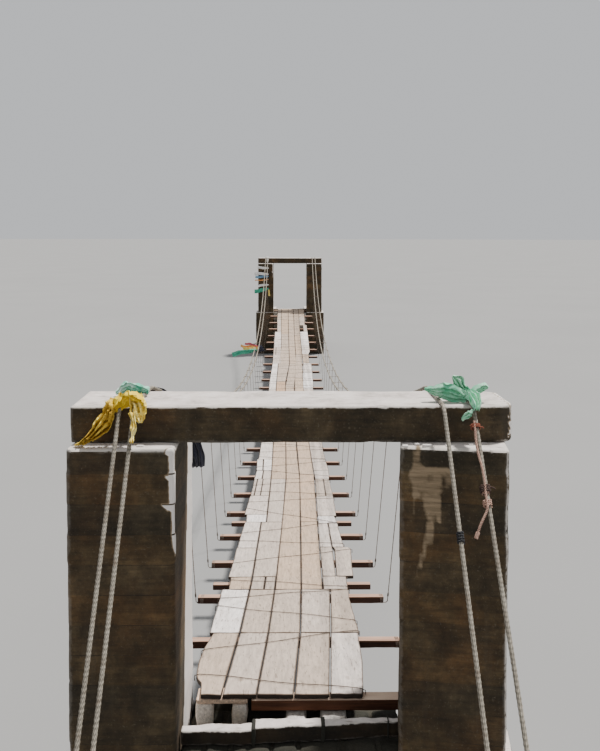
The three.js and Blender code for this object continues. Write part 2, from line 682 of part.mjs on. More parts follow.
// A second, thinner rope is lashed along the right outer backstay
const TIE_DIAMETER = 14;
const TIE_COLLAR = 60;
const tieRope = ROPES.rightOuter;
const tieSlope = THREE.MathUtils.degToRad(tieRope.slope);
const tieStart = tieRope.stations.find((station) => station.z > LINTEL_TOP - 60);
const tieAlong = (distance) => new THREE.Vector3(
  tieRope.nearX, tieStart.y - distance * Math.cos(tieSlope), tieStart.z - distance * Math.sin(tieSlope),
);
const TIE_REACH = [40, 860];
const TIE_COLLARS = [330, 670, 790];
const beside = new THREE.Vector3(-(ROPE_DIAMETER + TIE_DIAMETER) / 2 - 1, 0, 0);
const tieStrand = tubeThrough(
  TIE_REACH.map((distance) => tieAlong(distance).add(beside)), TIE_DIAMETER, ROPE_SIDES,
);
const tieCollars = TIE_COLLARS.map((distance) => tubeThrough(
  [tieAlong(distance), tieAlong(distance + TIE_COLLAR)].map((point) => point.add(
    new THREE.Vector3(-TIE_DIAMETER / 2, 0, 0),
  )),
  ROPE_DIAMETER + 2 * TIE_DIAMETER, ROPE_SIDES,
));
addCloth('right_tie_rope', [tieStrand, ...tieCollars].map(toSolid), COLOURS.tieRope);

// The origin is the middle of the whole bridge, on the level of its feet
const extent = new THREE.Box3().setFromObject(bridge);
bridge.position.x = -(extent.min.x + extent.max.x) / 2;
bridge.position.y = -(extent.min.y + extent.max.y) / 2;

export default bridge;
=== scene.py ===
# %% [markdown]
# # A wire-rope suspension footbridge
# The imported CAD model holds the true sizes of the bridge: two concrete portals, 30 m apart, with
# four wire ropes over them and a plank deck on hangers. Here every piece gets its worn shape and its
# finish. The frame comes in first, because each piece is placed by it and stays inside its box.

import json
import math
from itertools import product

import bpy
import numpy as np
from mathutils import Matrix, Vector

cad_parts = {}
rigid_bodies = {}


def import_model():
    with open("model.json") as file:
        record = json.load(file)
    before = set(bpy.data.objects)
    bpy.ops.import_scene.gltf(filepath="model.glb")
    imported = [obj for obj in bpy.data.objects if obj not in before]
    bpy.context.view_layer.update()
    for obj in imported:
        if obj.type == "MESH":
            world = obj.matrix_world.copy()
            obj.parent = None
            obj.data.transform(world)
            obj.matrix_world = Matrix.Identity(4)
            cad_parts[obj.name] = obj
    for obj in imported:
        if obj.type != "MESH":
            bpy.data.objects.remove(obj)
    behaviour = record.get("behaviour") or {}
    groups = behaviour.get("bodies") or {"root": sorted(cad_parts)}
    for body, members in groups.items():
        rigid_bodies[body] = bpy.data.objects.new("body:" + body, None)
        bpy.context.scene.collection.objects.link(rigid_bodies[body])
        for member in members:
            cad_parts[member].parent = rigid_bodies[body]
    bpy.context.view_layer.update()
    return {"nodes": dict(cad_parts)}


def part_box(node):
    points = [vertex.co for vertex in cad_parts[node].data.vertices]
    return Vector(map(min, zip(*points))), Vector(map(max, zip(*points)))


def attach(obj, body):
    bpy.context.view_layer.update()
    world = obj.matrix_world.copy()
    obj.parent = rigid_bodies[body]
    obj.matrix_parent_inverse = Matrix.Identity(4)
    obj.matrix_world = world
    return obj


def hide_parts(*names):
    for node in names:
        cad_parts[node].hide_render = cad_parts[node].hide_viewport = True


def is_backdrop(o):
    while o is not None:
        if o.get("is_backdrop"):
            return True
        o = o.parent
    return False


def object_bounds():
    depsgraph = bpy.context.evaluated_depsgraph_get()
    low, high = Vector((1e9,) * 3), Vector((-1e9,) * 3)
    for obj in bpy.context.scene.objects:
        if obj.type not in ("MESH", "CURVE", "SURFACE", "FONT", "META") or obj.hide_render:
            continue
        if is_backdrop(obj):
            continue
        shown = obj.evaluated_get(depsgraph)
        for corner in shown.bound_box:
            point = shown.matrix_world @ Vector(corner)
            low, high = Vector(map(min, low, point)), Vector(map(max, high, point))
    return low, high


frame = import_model()
lintel_low, lintel_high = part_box("near_lintel")
MIDDLE_X = (lintel_low.x + lintel_high.x) / 2  # the middle of the near portal
print("nodes:", len(frame["nodes"]), "middle of the portal:", round(MIDDLE_X, 4))

# %% [markdown]
# ## Camera
# A picture's viewpoint can be found by trial, or worked out from edges whose real sizes are known.
# Here the two portals gave it: the eye is 4.8 m before the near portal and 1.1 m above its lintel,
# and looks almost level. The uprights stay upright in the picture although the bridge fills its
# lower part, so the picture is the lower part of a taller view. The lens shift frames it the same.

# %% Place the camera
IMAGE_HEIGHT = 751
FOCAL_PIXELS = 790.83
AXIS_ROW = 264.57  # where the line of sight meets the picture, from its top edge
SENSOR_WIDTH = 36.0
LOOK_DOWN, LOOK_RIGHT, LEAN = 0.0396, 0.0116, 0.0017
EYE = (-0.0143, -20.2146, 5.2947)  # from the middle of the portal, from mid-span and from the ground
camera_data = bpy.data.cameras.new("camera")
camera_data.sensor_width = SENSOR_WIDTH
camera_data.lens = FOCAL_PIXELS / IMAGE_HEIGHT * SENSOR_WIDTH
camera_data.shift_y = (AXIS_ROW - IMAGE_HEIGHT / 2) / IMAGE_HEIGHT
camera_data.clip_end = 1500
camera = bpy.data.objects.new("camera", camera_data)
camera.location = (EYE[0] + MIDDLE_X, *EYE[1:])
aim = Matrix.Rotation(-LOOK_RIGHT, 3, "Z") @ Matrix.Rotation(math.pi / 2 - LOOK_DOWN, 3, "X")
camera.rotation_euler = (aim @ Matrix.Rotation(LEAN, 3, "Z")).to_euler()
bpy.context.scene.collection.objects.link(camera)
bpy.context.scene.camera = camera
print("lens:", round(camera_data.lens, 2), "mm")

# %% [markdown]
# ## Chance that repeats
# Worn things look worn because nothing on them is quite even. Blender has noise of its own, but a
# few lines of numpy work on a whole mesh at once. The numbers come from the place of each point, so
# the same bridge comes out at every run.

# %% Uneven numbers for whole meshes
LARGE_PRIMES = np.array([73856093, 19349663, 83492791])


def hashed(cells, seed):
    """A number from -1 to 1 for each whole-number cell."""
    mixed = (cells.astype(np.int64) * LARGE_PRIMES).sum(-1) + seed * 9176
    mixed = ((mixed ^ (mixed >> 13)) * 1274126177) & 0x7FFFFFFF
    mixed = ((mixed ^ (mixed >> 15)) * 668265263) & 0x7FFFFFFF
    return ((mixed >> 7) & 0xFFFF) / 32767.5 - 1


def unevenness(points, scale, seed=0, octaves=3):
    """Smooth noise from -1 to 1 at each point, with lumps of about that size in metres."""
    total = np.zeros(len(points))
    for octave in range(octaves):
        place = points / (scale * 0.5 ** octave)
        cell = np.floor(place)
        part = place - cell
        part = part * part * (3 - 2 * part)
        for corner in product((0, 1), repeat=3):
            share = np.prod(np.where(corner, part, 1 - part), axis=1)
            total += share * hashed(cell + corner, seed + octave * 17) * 0.5 ** octave
    return total / (2 - 0.5 ** (octaves - 1))


chance = np.random.default_rng(41)
print("uneven numbers:", unevenness(np.array([[0.1, 0.2, 0.3], [0.4, 0.5, 0.6]]), 0.2).round(2))

# %% [markdown]
# ## Making a piece
# A mesh can be modelled by hand, built with modifiers or written point by point. Writing it lets one
# piece be made of many small skins, such as the boards of a deck, and lets each point carry two
# painted values: tone, which tells one board or stone from the next, and wear, which is high on
# edges. The materials read both.

# %% Skins and pieces
class Skin:
    """Points, faces and the painted values of one closed shape."""

    def __init__(self, points, faces, tone=0.5, wear=0.0):
        self.points = np.asarray(points, float)
        self.faces = faces
        self.tone = np.broadcast_to(np.asarray(tone, float), len(self.points))
        self.wear = np.broadcast_to(np.asarray(wear, float), len(self.points))

    def moved(self, matrix):
        turn = np.array(matrix.to_3x3())
        return Skin(self.points @ turn.T + np.array(matrix.translation), self.faces, self.tone, self.wear)

    def at(self, place):
        return self.moved(Matrix.Translation(place))


def make_piece(name, skins, finish, replaces=(), sharp=38):
    """One object from several skins, which rides on the bridge."""
    points = np.concatenate([skin.points for skin in skins])
    faces = []
    first = 0
    for skin in skins:
        faces += [[first + corner for corner in face] for face in skin.faces]
        first += len(skin.points)
    mesh = bpy.data.meshes.new(name)
    mesh.from_pydata(points.tolist(), [], faces)
    for painted in ("tone", "wear"):
        values = np.concatenate([getattr(skin, painted) for skin in skins])
        layer = mesh.attributes.new(painted, "FLOAT", "POINT")
        layer.data.foreach_set("value", values.astype(np.float32))
    mesh.polygons.foreach_set("use_smooth", [True] * len(mesh.polygons))
    mesh.set_sharp_from_angle(angle=math.radians(sharp))
    mesh.materials.append(finish)
    piece = bpy.data.objects.new(name, mesh)
    bpy.context.scene.collection.objects.link(piece)
    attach(piece, "root")
    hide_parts(*replaces)
    print(name, "faces:", len(faces))
    return piece

# %% [markdown]
# ## A block with worn edges
# Concrete, timber and stone all begin as a box here. A bevel modifier rounds every edge alike, but
# real edges are chipped in one place and sharp in the next. So the box is a fine grid, and each
# point is pulled onto a rounded core whose radius changes along the edge.

# %% Blocks
CHIP_SPACING = 0.11  # metres from one broken place on an edge to the next
ROUNDING_SPACING = 0.3  # metres over which the rounding of an edge changes


def grid_lines(length, cell, edge, fine):
    """Where the grid lines cross one side, closer together near its ends."""
    inner = max(1, round((length - 2 * edge) / cell))
    middle = np.linspace(edge, length - edge, inner + 1)
    rim = np.arange(fine) * edge / fine
    return np.concatenate([rim, middle, length - rim[::-1]]) - length / 2


def box_grid(size, cell, edge, fine):
    """Points and faces of a box whose six sides are grids."""
    lines = [grid_lines(side, cell, min(edge, side / 5), fine) for side in size]
    counts = [len(line) - 1 for line in lines]
    quads = []
    for axis in range(3):
        across, along = (axis + 1) % 3, (axis + 2) % 3
        rows, columns = np.meshgrid(np.arange(counts[across]), np.arange(counts[along]), indexing="ij")
        for end in (0, counts[axis]):
            corners = []
            for row_step, column_step in ((0, 0), (1, 0), (1, 1), (0, 1)):
                key = np.empty((rows.size, 3), int)
                key[:, axis] = end
                key[:, across] = (rows + row_step).ravel()
                key[:, along] = (columns + column_step).ravel()
                corners.append(key)
            quad = np.stack(corners, 1)
            quads.append(quad if end else quad[:, ::-1])
    keys, faces = np.unique(np.concatenate(quads).reshape(-1, 3), axis=0, return_inverse=True)
    points = np.stack([lines[axis][keys[:, axis]] for axis in range(3)], 1)
    return points, faces.reshape(-1, 4).tolist()


def worn_block(size, cell, edge=0.03, rounding=(0.006, 0.006, 0.006), chips=0.0, uneven=0.002,
               seed=0, tone=0.5, lumps=0.25, fine=3):
    """A block about the origin. chips is how deep its edges are broken, uneven how rough its faces."""
    points, faces = box_grid(size, cell, edge, fine)
    half = np.array(size) / 2
    place = points + seed * 3.7
    broken = np.clip(unevenness(place, CHIP_SPACING, seed, 4) * 2.4 - 0.55, 0, 1) * chips
    radius = np.array(rounding) * (1 + 0.5 * unevenness(place, ROUNDING_SPACING, seed + 5, 2))[:, None]
    radius = np.minimum(radius + broken[:, None], half * 0.7)
    core = np.clip(points, radius - half, half - radius)
    outward = (points - core) / radius
    outward /= np.linalg.norm(outward, axis=1, keepdims=True)
    from_edge = np.sort(half - np.abs(points), axis=1)[:, 1]
    wear = np.clip(1 - from_edge / (np.max(rounding) + 0.012), 0, 1)
    points = core + outward * radius
    points += outward * (unevenness(place, lumps, seed + 9, 4) * uneven)[:, None]
    return Skin(points, faces, tone, wear)

# %% [markdown]
# ## Nodes for a finish
# A material is a small network, and most of its steps are the same few: a noise, a colour ramp, a
# mix. A helper that adds them one by one keeps each recipe short enough to read. The coordinates are
# those of the object, which here are metres along the bridge, so every pattern is true to scale.

# %% A helper for materials
class Finish:
    """Builds one material. Each method adds a node and gives back its output."""

    def __init__(self, name, roughness, metallic=0.0):
        self.material = bpy.data.materials.new(name)
        self.material.use_nodes = True
        self.tree = self.material.node_tree
        self.shader = self.tree.nodes["Principled BSDF"]
        self.shader.inputs["Roughness"].default_value = roughness
        self.shader.inputs["Metallic"].default_value = metallic
        self.place = self.tree.nodes.new("ShaderNodeTexCoord").outputs["Object"]

    def node(self, kind, inputs, **settings):
        node = self.tree.nodes.new(kind)
        for name, value in settings.items():
            setattr(node, name, value)
        for name, value in inputs.items():
            if isinstance(value, bpy.types.NodeSocket):
                self.tree.links.new(value, node.inputs[name])
            else:
                node.inputs[name].default_value = value
        return node

    def painted(self, name):
        return self.node("ShaderNodeAttribute", {}, attribute_name=name).outputs["Fac"]

    def maths(self, operation, first, second=0.0):
        return self.node("ShaderNodeMath", {0: first, 1: second}, operation=operation).outputs[0]

    def stretched(self, place, scale):
        return self.node("ShaderNodeVectorMath", {0: place, 1: scale}, operation="MULTIPLY").outputs[0]

    def shifted(self, place, amount):
        """The same place, moved far away by a painted value, so no two boards share a pattern."""
        far = self.node("ShaderNodeVectorMath", {0: (31.0, 17.0, 23.0), "Scale": amount},
                        operation="SCALE").outputs[0]
        return self.node("ShaderNodeVectorMath", {0: place, 1: far}, operation="ADD").outputs[0]

    def noise(self, place, scale, detail=5.0, roughness=0.55):
        return self.node("ShaderNodeTexNoise", {
            "Vector": place, "Scale": scale, "Detail": detail, "Roughness": roughness,
        }).outputs["Fac"]

    def ramp(self, amount, stops):
        """Colours or greys along a value, as (place, colour) pairs."""
        node = self.node("ShaderNodeValToRGB", {"Fac": amount})
        elements = node.color_ramp.elements
        for place, colour in stops[2:]:
            elements.new(place)
        for element, (place, colour) in zip(elements, stops):
            element.position = place
            element.color = (*colour, 1) if hasattr(colour, "__len__") else (colour,) * 3 + (1,)
        return node.outputs["Color"]

    def patches(self, stops, place, scale, detail=5.0, roughness=0.55):
        """Colours or greys along a noise."""
        return self.ramp(self.noise(place, scale, detail, roughness), stops)

    def times(self, first, second):
        return self.maths("MULTIPLY", first, second)

    def mix(self, amount, first, second, kind="MIX"):
        node = self.node("ShaderNodeMix", {0: amount}, data_type="RGBA", blend_type=kind)
        for index, value in ((6, first), (7, second)):
            if isinstance(value, bpy.types.NodeSocket):
                self.tree.links.new(value, node.inputs[index])
            else:
                node.inputs[index].default_value = (*value, 1)
        return node.outputs[2]

    def tinted(self, colour, tint):
        return self.mix(1.0, colour, tint, "MULTIPLY")

    def facing(self):
        """How far a face looks along X, Y and Z."""
        normal = self.node("ShaderNodeNewGeometry", {}).outputs["Normal"]
        return self.node("ShaderNodeSeparateXYZ", {"Vector": normal}).outputs

    def done(self, colour, height=None, depth=0.002):
        """Joins up the colour and the relief."""
        self.tree.links.new(colour, self.shader.inputs["Base Color"])
        if height is not None:
            bump = self.node("ShaderNodeBump", {"Height": height, "Distance": depth, "Strength": 1.0})
            self.tree.links.new(bump.outputs["Normal"], self.shader.inputs["Normal"])
        print("finish:", self.material.name)
        return self.material

# %% [markdown]
# ## Concrete
# The portals were cast between boards about 190 mm high. Their grain left fine level streaks, and a
# joint shows faintly here and there. The faces are dark: stain from years of damp, darkened further as
# painted shade. The tops and the edges that look up or toward the sun are pale: partly bleaching and
# wear, partly painted sunlight. One long recipe would be hard to follow, so each of these layers is a
# function of its own.

# %% Cast faces
BOARD_HEIGHT = 0.19
JOINT_START = 0.01
PIER_TOP = 3.9647
LEVEL_GRAIN = (3.4, 3.4, 42.0)  # a noise squeezed like this makes level streaks


def stained_and_shaded_face(make, clouds, streaks):
    """The dark colour of a cast face: stain, darkened further as painted shade."""
    face = make.ramp(clouds, [(0.28, (0.017, 0.0125, 0.006)), (0.5, (0.04, 0.029, 0.0145)),
                              (0.72, (0.1, 0.074, 0.04))])
    brown = make.patches([(0.46, 0.0), (0.66, 0.75)], make.shifted(make.place, 1.0), 1.6, 5.0, 0.6)
    face = make.mix(brown, face, make.mix(clouds, (0.03, 0.016, 0.006), (0.12, 0.066, 0.026)))
    face = make.tinted(face, make.ramp(streaks, [(0.32, 0.72), (0.68, 1.32)]))
    blots = make.patches([(0.3, 0.55), (0.68, 1.45)], make.place, 9.0, 7.0, 0.7)
    return make.tinted(face, blots)


def board_lines(make, height):
    """A number for each board band, how near its joint is (0.5 on it), and the faint lines there."""
    board = make.maths("DIVIDE", make.maths("SUBTRACT", height, JOINT_START), BOARD_HEIGHT)
    band = make.node("ShaderNodeTexWhiteNoise", {"W": make.maths("FLOOR", board)},
                     noise_dimensions="1D").outputs["Value"]
    joint = make.maths("ABSOLUTE", make.maths("SUBTRACT", make.maths("FRACT", board), 0.5))
    patchy = make.patches([(0.45, 0.0), (0.62, 1.0)], make.place, 1.7, 3.0)
    line = make.times(make.ramp(joint, [(0.484, 0.0), (0.495, 1.0)]), patchy)
    return band, joint, make.times(line, make.maths("LESS_THAN", height, PIER_TOP - 0.02))


def washed_face(make, face, clouds, height):
    """The face with pale runs and specks, and dark damp near the ground."""
    runs = make.noise(make.stretched(make.place, (7.0, 7.0, 0.6)), 1.0, 6.0, 0.6)
    face = make.mix(make.ramp(runs, [(0.58, 0.0), (0.8, 0.3)]), face, (0.11, 0.095, 0.068))
    specks = make.patches([(0.6, 0.0), (0.72, 0.45)], make.place, 75.0, 3.0, 0.6)
    face = make.mix(specks, face, (0.15, 0.125, 0.085))
    dryness = make.maths("ADD", make.times(height, 0.5), make.times(clouds, 0.7))
    return make.mix(make.ramp(dryness, [(0.55, 0.7), (1.25, 0.0)]), face, (0.012, 0.013, 0.007))

# %% [markdown]
# Over the dark face lie the pale top, the pale edges and what has run down. The last is painted as tone:
# up to a half it is tan cement, above that it is pale, which on the left piers is painted sunlight.

# %% Tops, edges and runs
def bleached_and_sunlit_top(make):
    """The pale top of a lintel or a ledge, with dark creases: partly bleaching, partly painted sunlight."""
    top = make.patches([(0.28, (0.3, 0.265, 0.235)), (0.48, (0.6, 0.545, 0.51)),
                        (0.7, (0.78, 0.72, 0.685))], make.place, 5.0, 9.0, 0.7)
    drawn_out = make.stretched(make.place, (5.0, 30.0, 30.0))
    creases = make.patches([(0.6, 0.0), (0.66, 0.6)], drawn_out, 1.0, 4.0, 0.55)
    return make.mix(creases, top, (0.24, 0.2, 0.17))


def worn_and_sunlit_edges(make, facing):
    """How pale an edge is: wear, and painted sunlight, which keeps it pale mostly where it looks up or
    toward the sun.
    """
    sunward = make.maths("MAXIMUM", make.ramp(facing["Z"], [(0.1, 0.0), (0.4, 1.0)]),
                         make.ramp(facing["X"], [(0.3, 0.12), (0.62, 1.0)]))
    broken = make.patches([(0.36, 0.3), (0.6, 1.4)], make.place, 14.0, 6.0, 0.7)
    worn = make.times(make.painted("wear"), broken)
    return make.times(make.ramp(worn, [(0.35, 0.0), (0.8, 0.9)]), sunward)


def painted_run(make, streaks, joint, facing):
    """How far the painted tone covers the face, and its colour: tan cement below a half, pale above, which
    on the left piers is painted sunlight.
    """
    broken = make.maths("SUBTRACT", make.noise(make.place, 34.0, 6.0, 0.65), 0.5)
    run = make.maths("ADD", make.painted("tone"), make.times(broken, 0.3))
    cement = make.mix(make.ramp(streaks, [(0.35, 0.0), (0.6, 1.0)]), (0.15, 0.108, 0.064),
                      (0.3, 0.225, 0.14))
    colour = make.mix(make.ramp(run, [(0.5, 0.0), (0.58, 1.0)]), cement, (0.8, 0.755, 0.72))
    open_joint = make.times(make.ramp(joint, [(0.468, 0.0), (0.48, 1.0)]),
                            make.maths("LESS_THAN", facing["Y"], -0.3))
    open_joint = make.times(open_joint, make.ramp(run, [(0.5, 0.0), (0.55, 1.0)]))
    covered = make.times(make.ramp(run, [(0.12, 0.0), (0.36, 1.0)]),
                         make.maths("SUBTRACT", 1.0, open_joint))
    return covered, colour

# %% [markdown]
# The finish puts the layers together. Its relief is a fine grain with pits, the same level streaks,
# and the joints, which lie deepest.

# %% Concrete
def concrete_finish(name, shade_factor=1.0):
    make = Finish(name, 0.93)
    clouds = make.noise(make.place, 2.4, 9.0, 0.68)
    streaks = make.noise(make.stretched(make.place, LEVEL_GRAIN), 1.0, 7.0, 0.68)
    height = make.node("ShaderNodeSeparateXYZ", {"Vector": make.place}).outputs["Z"]
    band, joint, line = board_lines(make, height)
    band_tint = make.ramp(band, [(0.0, (0.8, 0.82, 0.84)), (1.0, (1.35, 1.2, 1.0))])
    face = make.tinted(stained_and_shaded_face(make, clouds, streaks), band_tint)
    face = make.mix(make.times(line, 0.6), face, (0.012, 0.01, 0.007))
    face = washed_face(make, face, clouds, height)
    # Below one, this factor darkens the faces as painted shade.
    face = make.tinted(face, (shade_factor,) * 3)
    facing = make.facing()
    # Faces that look up take the pale top: partly bleaching, partly painted sunlight against painted shade.
    colour = make.mix(make.ramp(facing["Z"], [(0.42, 0.0), (0.75, 1.0)]), face, bleached_and_sunlit_top(make))
    colour = make.mix(worn_and_sunlit_edges(make, facing), colour, (0.62, 0.58, 0.53))
    covered, run_colour = painted_run(make, streaks, joint, facing)
    colour = make.mix(covered, colour, run_colour)
    grain = make.noise(make.place, 55.0, 8.0, 0.7)
    pits = make.patches([(0.28, 0.0), (0.36, 1.0)], make.place, 120.0, 2.0)
    relief = make.mix(0.4, make.mix(0.35, grain, pits), streaks)
    return make.done(colour, make.mix(line, relief, (0.0, 0.0, 0.0)), 0.008)


CONCRETE = concrete_finish("weathered_concrete")
# A copy whose faces are darkened as painted shade, for the near sill.
SHADED_CONCRETE = concrete_finish("painted_shade_concrete", 0.3)

# %% [markdown]
# ## The two portals
# A portal is a lintel on two piers, and each pier is one pour with its pedestal. The vertical edges
# were cast with a wide chamfer, so the rounding of the shaft is 34 mm across and only 12 mm at the
# top. Each board band stands out or back by a millimetre or two, as real shuttering leaves it.

# %% The shape of a pier
PEDESTAL_TOP = 1.82
PEDESTAL_STEP = 0.09
PIER_SIZE = (0.67, 0.885)
PIER_FROM_MIDDLE = 1.065
SHAFT_OVERLAP = 0.03  # how far the shaft runs down into the pedestal
BAND_STEP = 0.0022


def board_marks(skin):
    """Moves each band of a cast face in or out a little."""
    points = skin.points.copy()
    band = np.floor((points[:, 2] - JOINT_START) / BOARD_HEIGHT)
    cells = np.stack([band, np.zeros(len(band)), np.zeros(len(band))], 1)
    side = np.abs(points[:, :2]) > np.abs(points[:, :2]).max(0) * 0.9
    points[:, :2] += np.sign(points[:, :2]) * side * (hashed(cells, 3) * BAND_STEP)[:, None]
    return Skin(points, skin.faces, skin.tone, skin.wear)


def pier_skins(side, cell, seed):
    """Shaft and pedestal about the pier's own middle line, standing on z = 0."""
    shaft_height = PIER_TOP - PEDESTAL_TOP + SHAFT_OVERLAP
    shaft = worn_block((*PIER_SIZE, shaft_height), cell, 0.045, (0.034, 0.034, 0.012), 0.022, 0.003, seed)
    shaft = shaft.at((0, 0, PIER_TOP - shaft_height / 2))
    width = PIER_SIZE[0] + PEDESTAL_STEP
    depth = PIER_SIZE[1] + 2 * PEDESTAL_STEP
    pedestal = worn_block((width, depth, PEDESTAL_TOP), max(cell, 0.045), 0.045, (0.022, 0.022, 0.016),
                          0.03, 0.004, seed + 1)
    pedestal = pedestal.at((side * PEDESTAL_STEP / 2, 0, PEDESTAL_TOP / 2))
    return [board_marks(shaft), board_marks(pedestal)]

# %% [markdown]
# Cement ran down the landward face of the near right pier, widest near the top, with a level arm and
# two thin runs beside it. Sunlight is painted as a pale tone on the inner edges of the left piers, where
# the sun reaches them past the lintel. Distances are from the pier's own middle line, and heights from
# the ground.

# %% What is painted on the piers
RUN_HEIGHTS = [3.08, 3.14, 3.31, 3.43, 3.535, 3.61, 3.66, 3.72, 3.8, 3.835, 3.845, 3.855, 3.96]
RUN_MIDDLES = [-0.235, -0.222, -0.18, -0.157, -0.15, -0.145, -0.15, -0.16, -0.165, -0.165, -0.2,
               -0.229, -0.229]
RUN_WIDTHS = [0.0, 0.014, 0.027, 0.035, 0.042, 0.058, 0.083, 0.11, 0.13, 0.125, 0.08, 0.028, 0.03]
THIN_RUNS = [  # middle, half width, wander, bottom, top and strength of each
    (-0.085, 0.014, 0.004, 3.5, 3.72, 1.0),
    (-0.122, 0.009, 0.003, 3.13, 3.44, 0.8),
]
ARM_HEIGHT, ARM_LEFT, ARM_RIGHT = 3.815, -0.165, 0.004
LANDWARD_FACE = -0.38
CEMENT_TONE, SUNLIT_TONE = 0.46, 0.95
# Where painted sunlight lies round the front edge of a left pier at each height, reaching further at broken
# joints.
SUNLIT_HEIGHTS = [3.28, 3.36, 3.59, 3.61, 3.65, 3.96]
SUNLIT_REACH = [0, 0.02, 0.027, 0.033, 0.036, 0.042]
SUNLIT_JOINT_SPURS = [(3.945, 0.02), (3.79, 0.024), (3.605, 0.05)]  # heights, and how much further it reaches


def cement_run(skin):
    """The cement on the landward face of the near right pier."""
    x, y, z = skin.points.T
    wander = unevenness(skin.points * (1, 1, 0.4), 0.09, 77, 4)
    fingers = unevenness(skin.points * (1, 0, 0.06), 0.015, 79, 2)
    middle = np.interp(z, RUN_HEIGHTS, RUN_MIDDLES) + 0.01 * wander
    width = np.interp(z, RUN_HEIGHTS, RUN_WIDTHS)
    runs = [(width * (1 + 0.25 * wander + 0.6 * fingers) - np.abs(x - middle)) / 0.018]
    for thin_middle, half, shift, bottom, top, strength in THIN_RUNS:
        from_edge = half - np.abs(x - thin_middle + shift * wander)
        runs.append(from_edge / 0.01 * (z > bottom) * (z < top) * strength)
    arm = (0.026 - np.abs(z - ARM_HEIGHT + 0.008 * wander)) / 0.012
    runs.append(np.minimum(arm, (ARM_RIGHT - x) / 0.02) * (x > ARM_LEFT))
    streaks = np.clip(fingers * 1.6 - 0.1, 0, 0.5) * (np.abs(x + 0.17) < 0.11)
    runs.append(streaks * np.clip((z - 3.2) / 0.3, 0, 1) * (z < 3.7))
    cement = np.clip(np.maximum.reduce(runs), 0, 1) * np.clip((z - 3.06) / 0.12, 0, 1)
    cement *= np.clip(unevenness(skin.points * (1, 1, 2), 0.05, 78, 3) * 0.8 + 0.9, 0, 1)
    return Skin(skin.points, skin.faces, np.where(y < LANDWARD_FACE, cement * CEMENT_TONE, 0.0), skin.wear)


def painted_sunlit_edges(skin):
    """Painted sunlight on the inner edges of a left pier, where the sun reaches them past the lintel."""
    x, y, z = skin.points.T
    ragged = unevenness(skin.points * (0, 0, 1), 0.035, 6, 3)
    reach = np.interp(z, SUNLIT_HEIGHTS, SUNLIT_REACH)
    reach *= 1 + 0.16 * ragged
    for joint, spread in SUNLIT_JOINT_SPURS:
        reach += spread * np.clip(1.3 - np.abs(z - joint) / 0.02, 0, 1)
    # front is the painted sunlit front edge, back the painted sunlit strip behind the lintel's shadow edge.
    front = np.clip((reach - (PIER_SIZE[0] / 2 - x)) / 0.012, 0, 1) * (y < -PIER_SIZE[1] / 2 + 0.03)
    shadow_edge = 0.19 - 0.14 * (PIER_TOP - z) + 0.012 * unevenness(skin.points, 0.2, 5, 3)
    back = np.clip((y - shadow_edge) / 0.03, 0, 1) * (x > PIER_SIZE[0] / 2 - 0.036)
    wear = skin.wear * ((z > PIER_TOP - 0.05) | (x < 0))
    return Skin(skin.points, skin.faces, SUNLIT_TONE * np.maximum(front, back), wear)

# %% [markdown]
# The near piers get a finer grid than the far ones, which show small in the picture.

# %% Piers
PIER_Y = 14.945
NEAR_RIGHT_TURN = math.radians(-8.5)
FAR_SHIFT = -0.05
piers = {
    "near_left_pier": (-1, -PIER_Y, 0.0, 0.0, 0.022),
    "near_right_pier": (1, -PIER_Y, 0.0, NEAR_RIGHT_TURN, 0.022),
    "far_left_pier": (-1, PIER_Y, FAR_SHIFT, 0.0, 0.055),
    "far_right_pier": (1, PIER_Y, FAR_SHIFT, 0.0, 0.055),
}
for seed, (name, (side, y, shift, turn, cell)) in enumerate(piers.items(), 11):
    skins = [Skin(s.points, s.faces, 0.0, s.wear) for s in pier_skins(side, cell, seed * 2)]
    if name == "near_right_pier":
        skins = [cement_run(s) for s in skins]
    if name.endswith("left_pier"):
        skins = [painted_sunlit_edges(s) for s in skins]
    place = Matrix.Translation((MIDDLE_X + shift + side * PIER_FROM_MIDDLE, y, 0))
    place = place @ Matrix.Rotation(turn, 4, "Z")
    make_piece(name + "_cast", [s.moved(place) for s in skins], CONCRETE, [name])

# %% [markdown]
# ## Lintels and anchor blocks
# The near lintel is the piece that the eye meets first. Its edges have been rubbed and broken for
# years, and its right end is rounded in plan. The anchor blocks stand in the banks and are plainer.

# %% Lintels and anchors
WORN_END_START, WORN_END_LENGTH, WORN_END_SHARE = 1.27, 0.14, 0.3
PALE_END_START = 1.372


def rounded_end(skin):
    """Draws the right end of a lintel in towards its middle, as a worn end is."""
    points = skin.points.copy()
    part = np.clip((points[:, 0] - WORN_END_START) / WORN_END_LENGTH, 0, 1)
    points[:, 1] *= 1 - WORN_END_SHARE * part ** 2.5
    return Skin(points, skin.faces, skin.tone, skin.wear)


def block_in_box(node, cell, rounding, chips, uneven, seed):
    """A worn block that fills the box of a CAD node, and that box's middle."""
    low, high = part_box(node)
    skin = worn_block(tuple(high - low), cell, 0.04, rounding, chips, uneven, seed, 0.0)
    return skin, (low + high) / 2


for node, cell, seed in (("near_lintel", 0.02, 51), ("far_lintel", 0.045, 53)):
    skin, middle = block_in_box(node, cell, (0.014, 0.018, 0.018), 0.026, 0.005, seed)
    skin = rounded_end(skin)
    at_end = np.clip((skin.points[:, 0] - PALE_END_START) / 0.012, 0, 1)
    speckled = at_end * np.clip(unevenness(skin.points, 0.02, seed + 4, 3) * 3 + 0.55, 0, 1)
    skin = Skin(skin.points, skin.faces, speckled * 0.8, skin.wear)
    make_piece(node + "_cast", [skin.at(middle)], CONCRETE, [node])

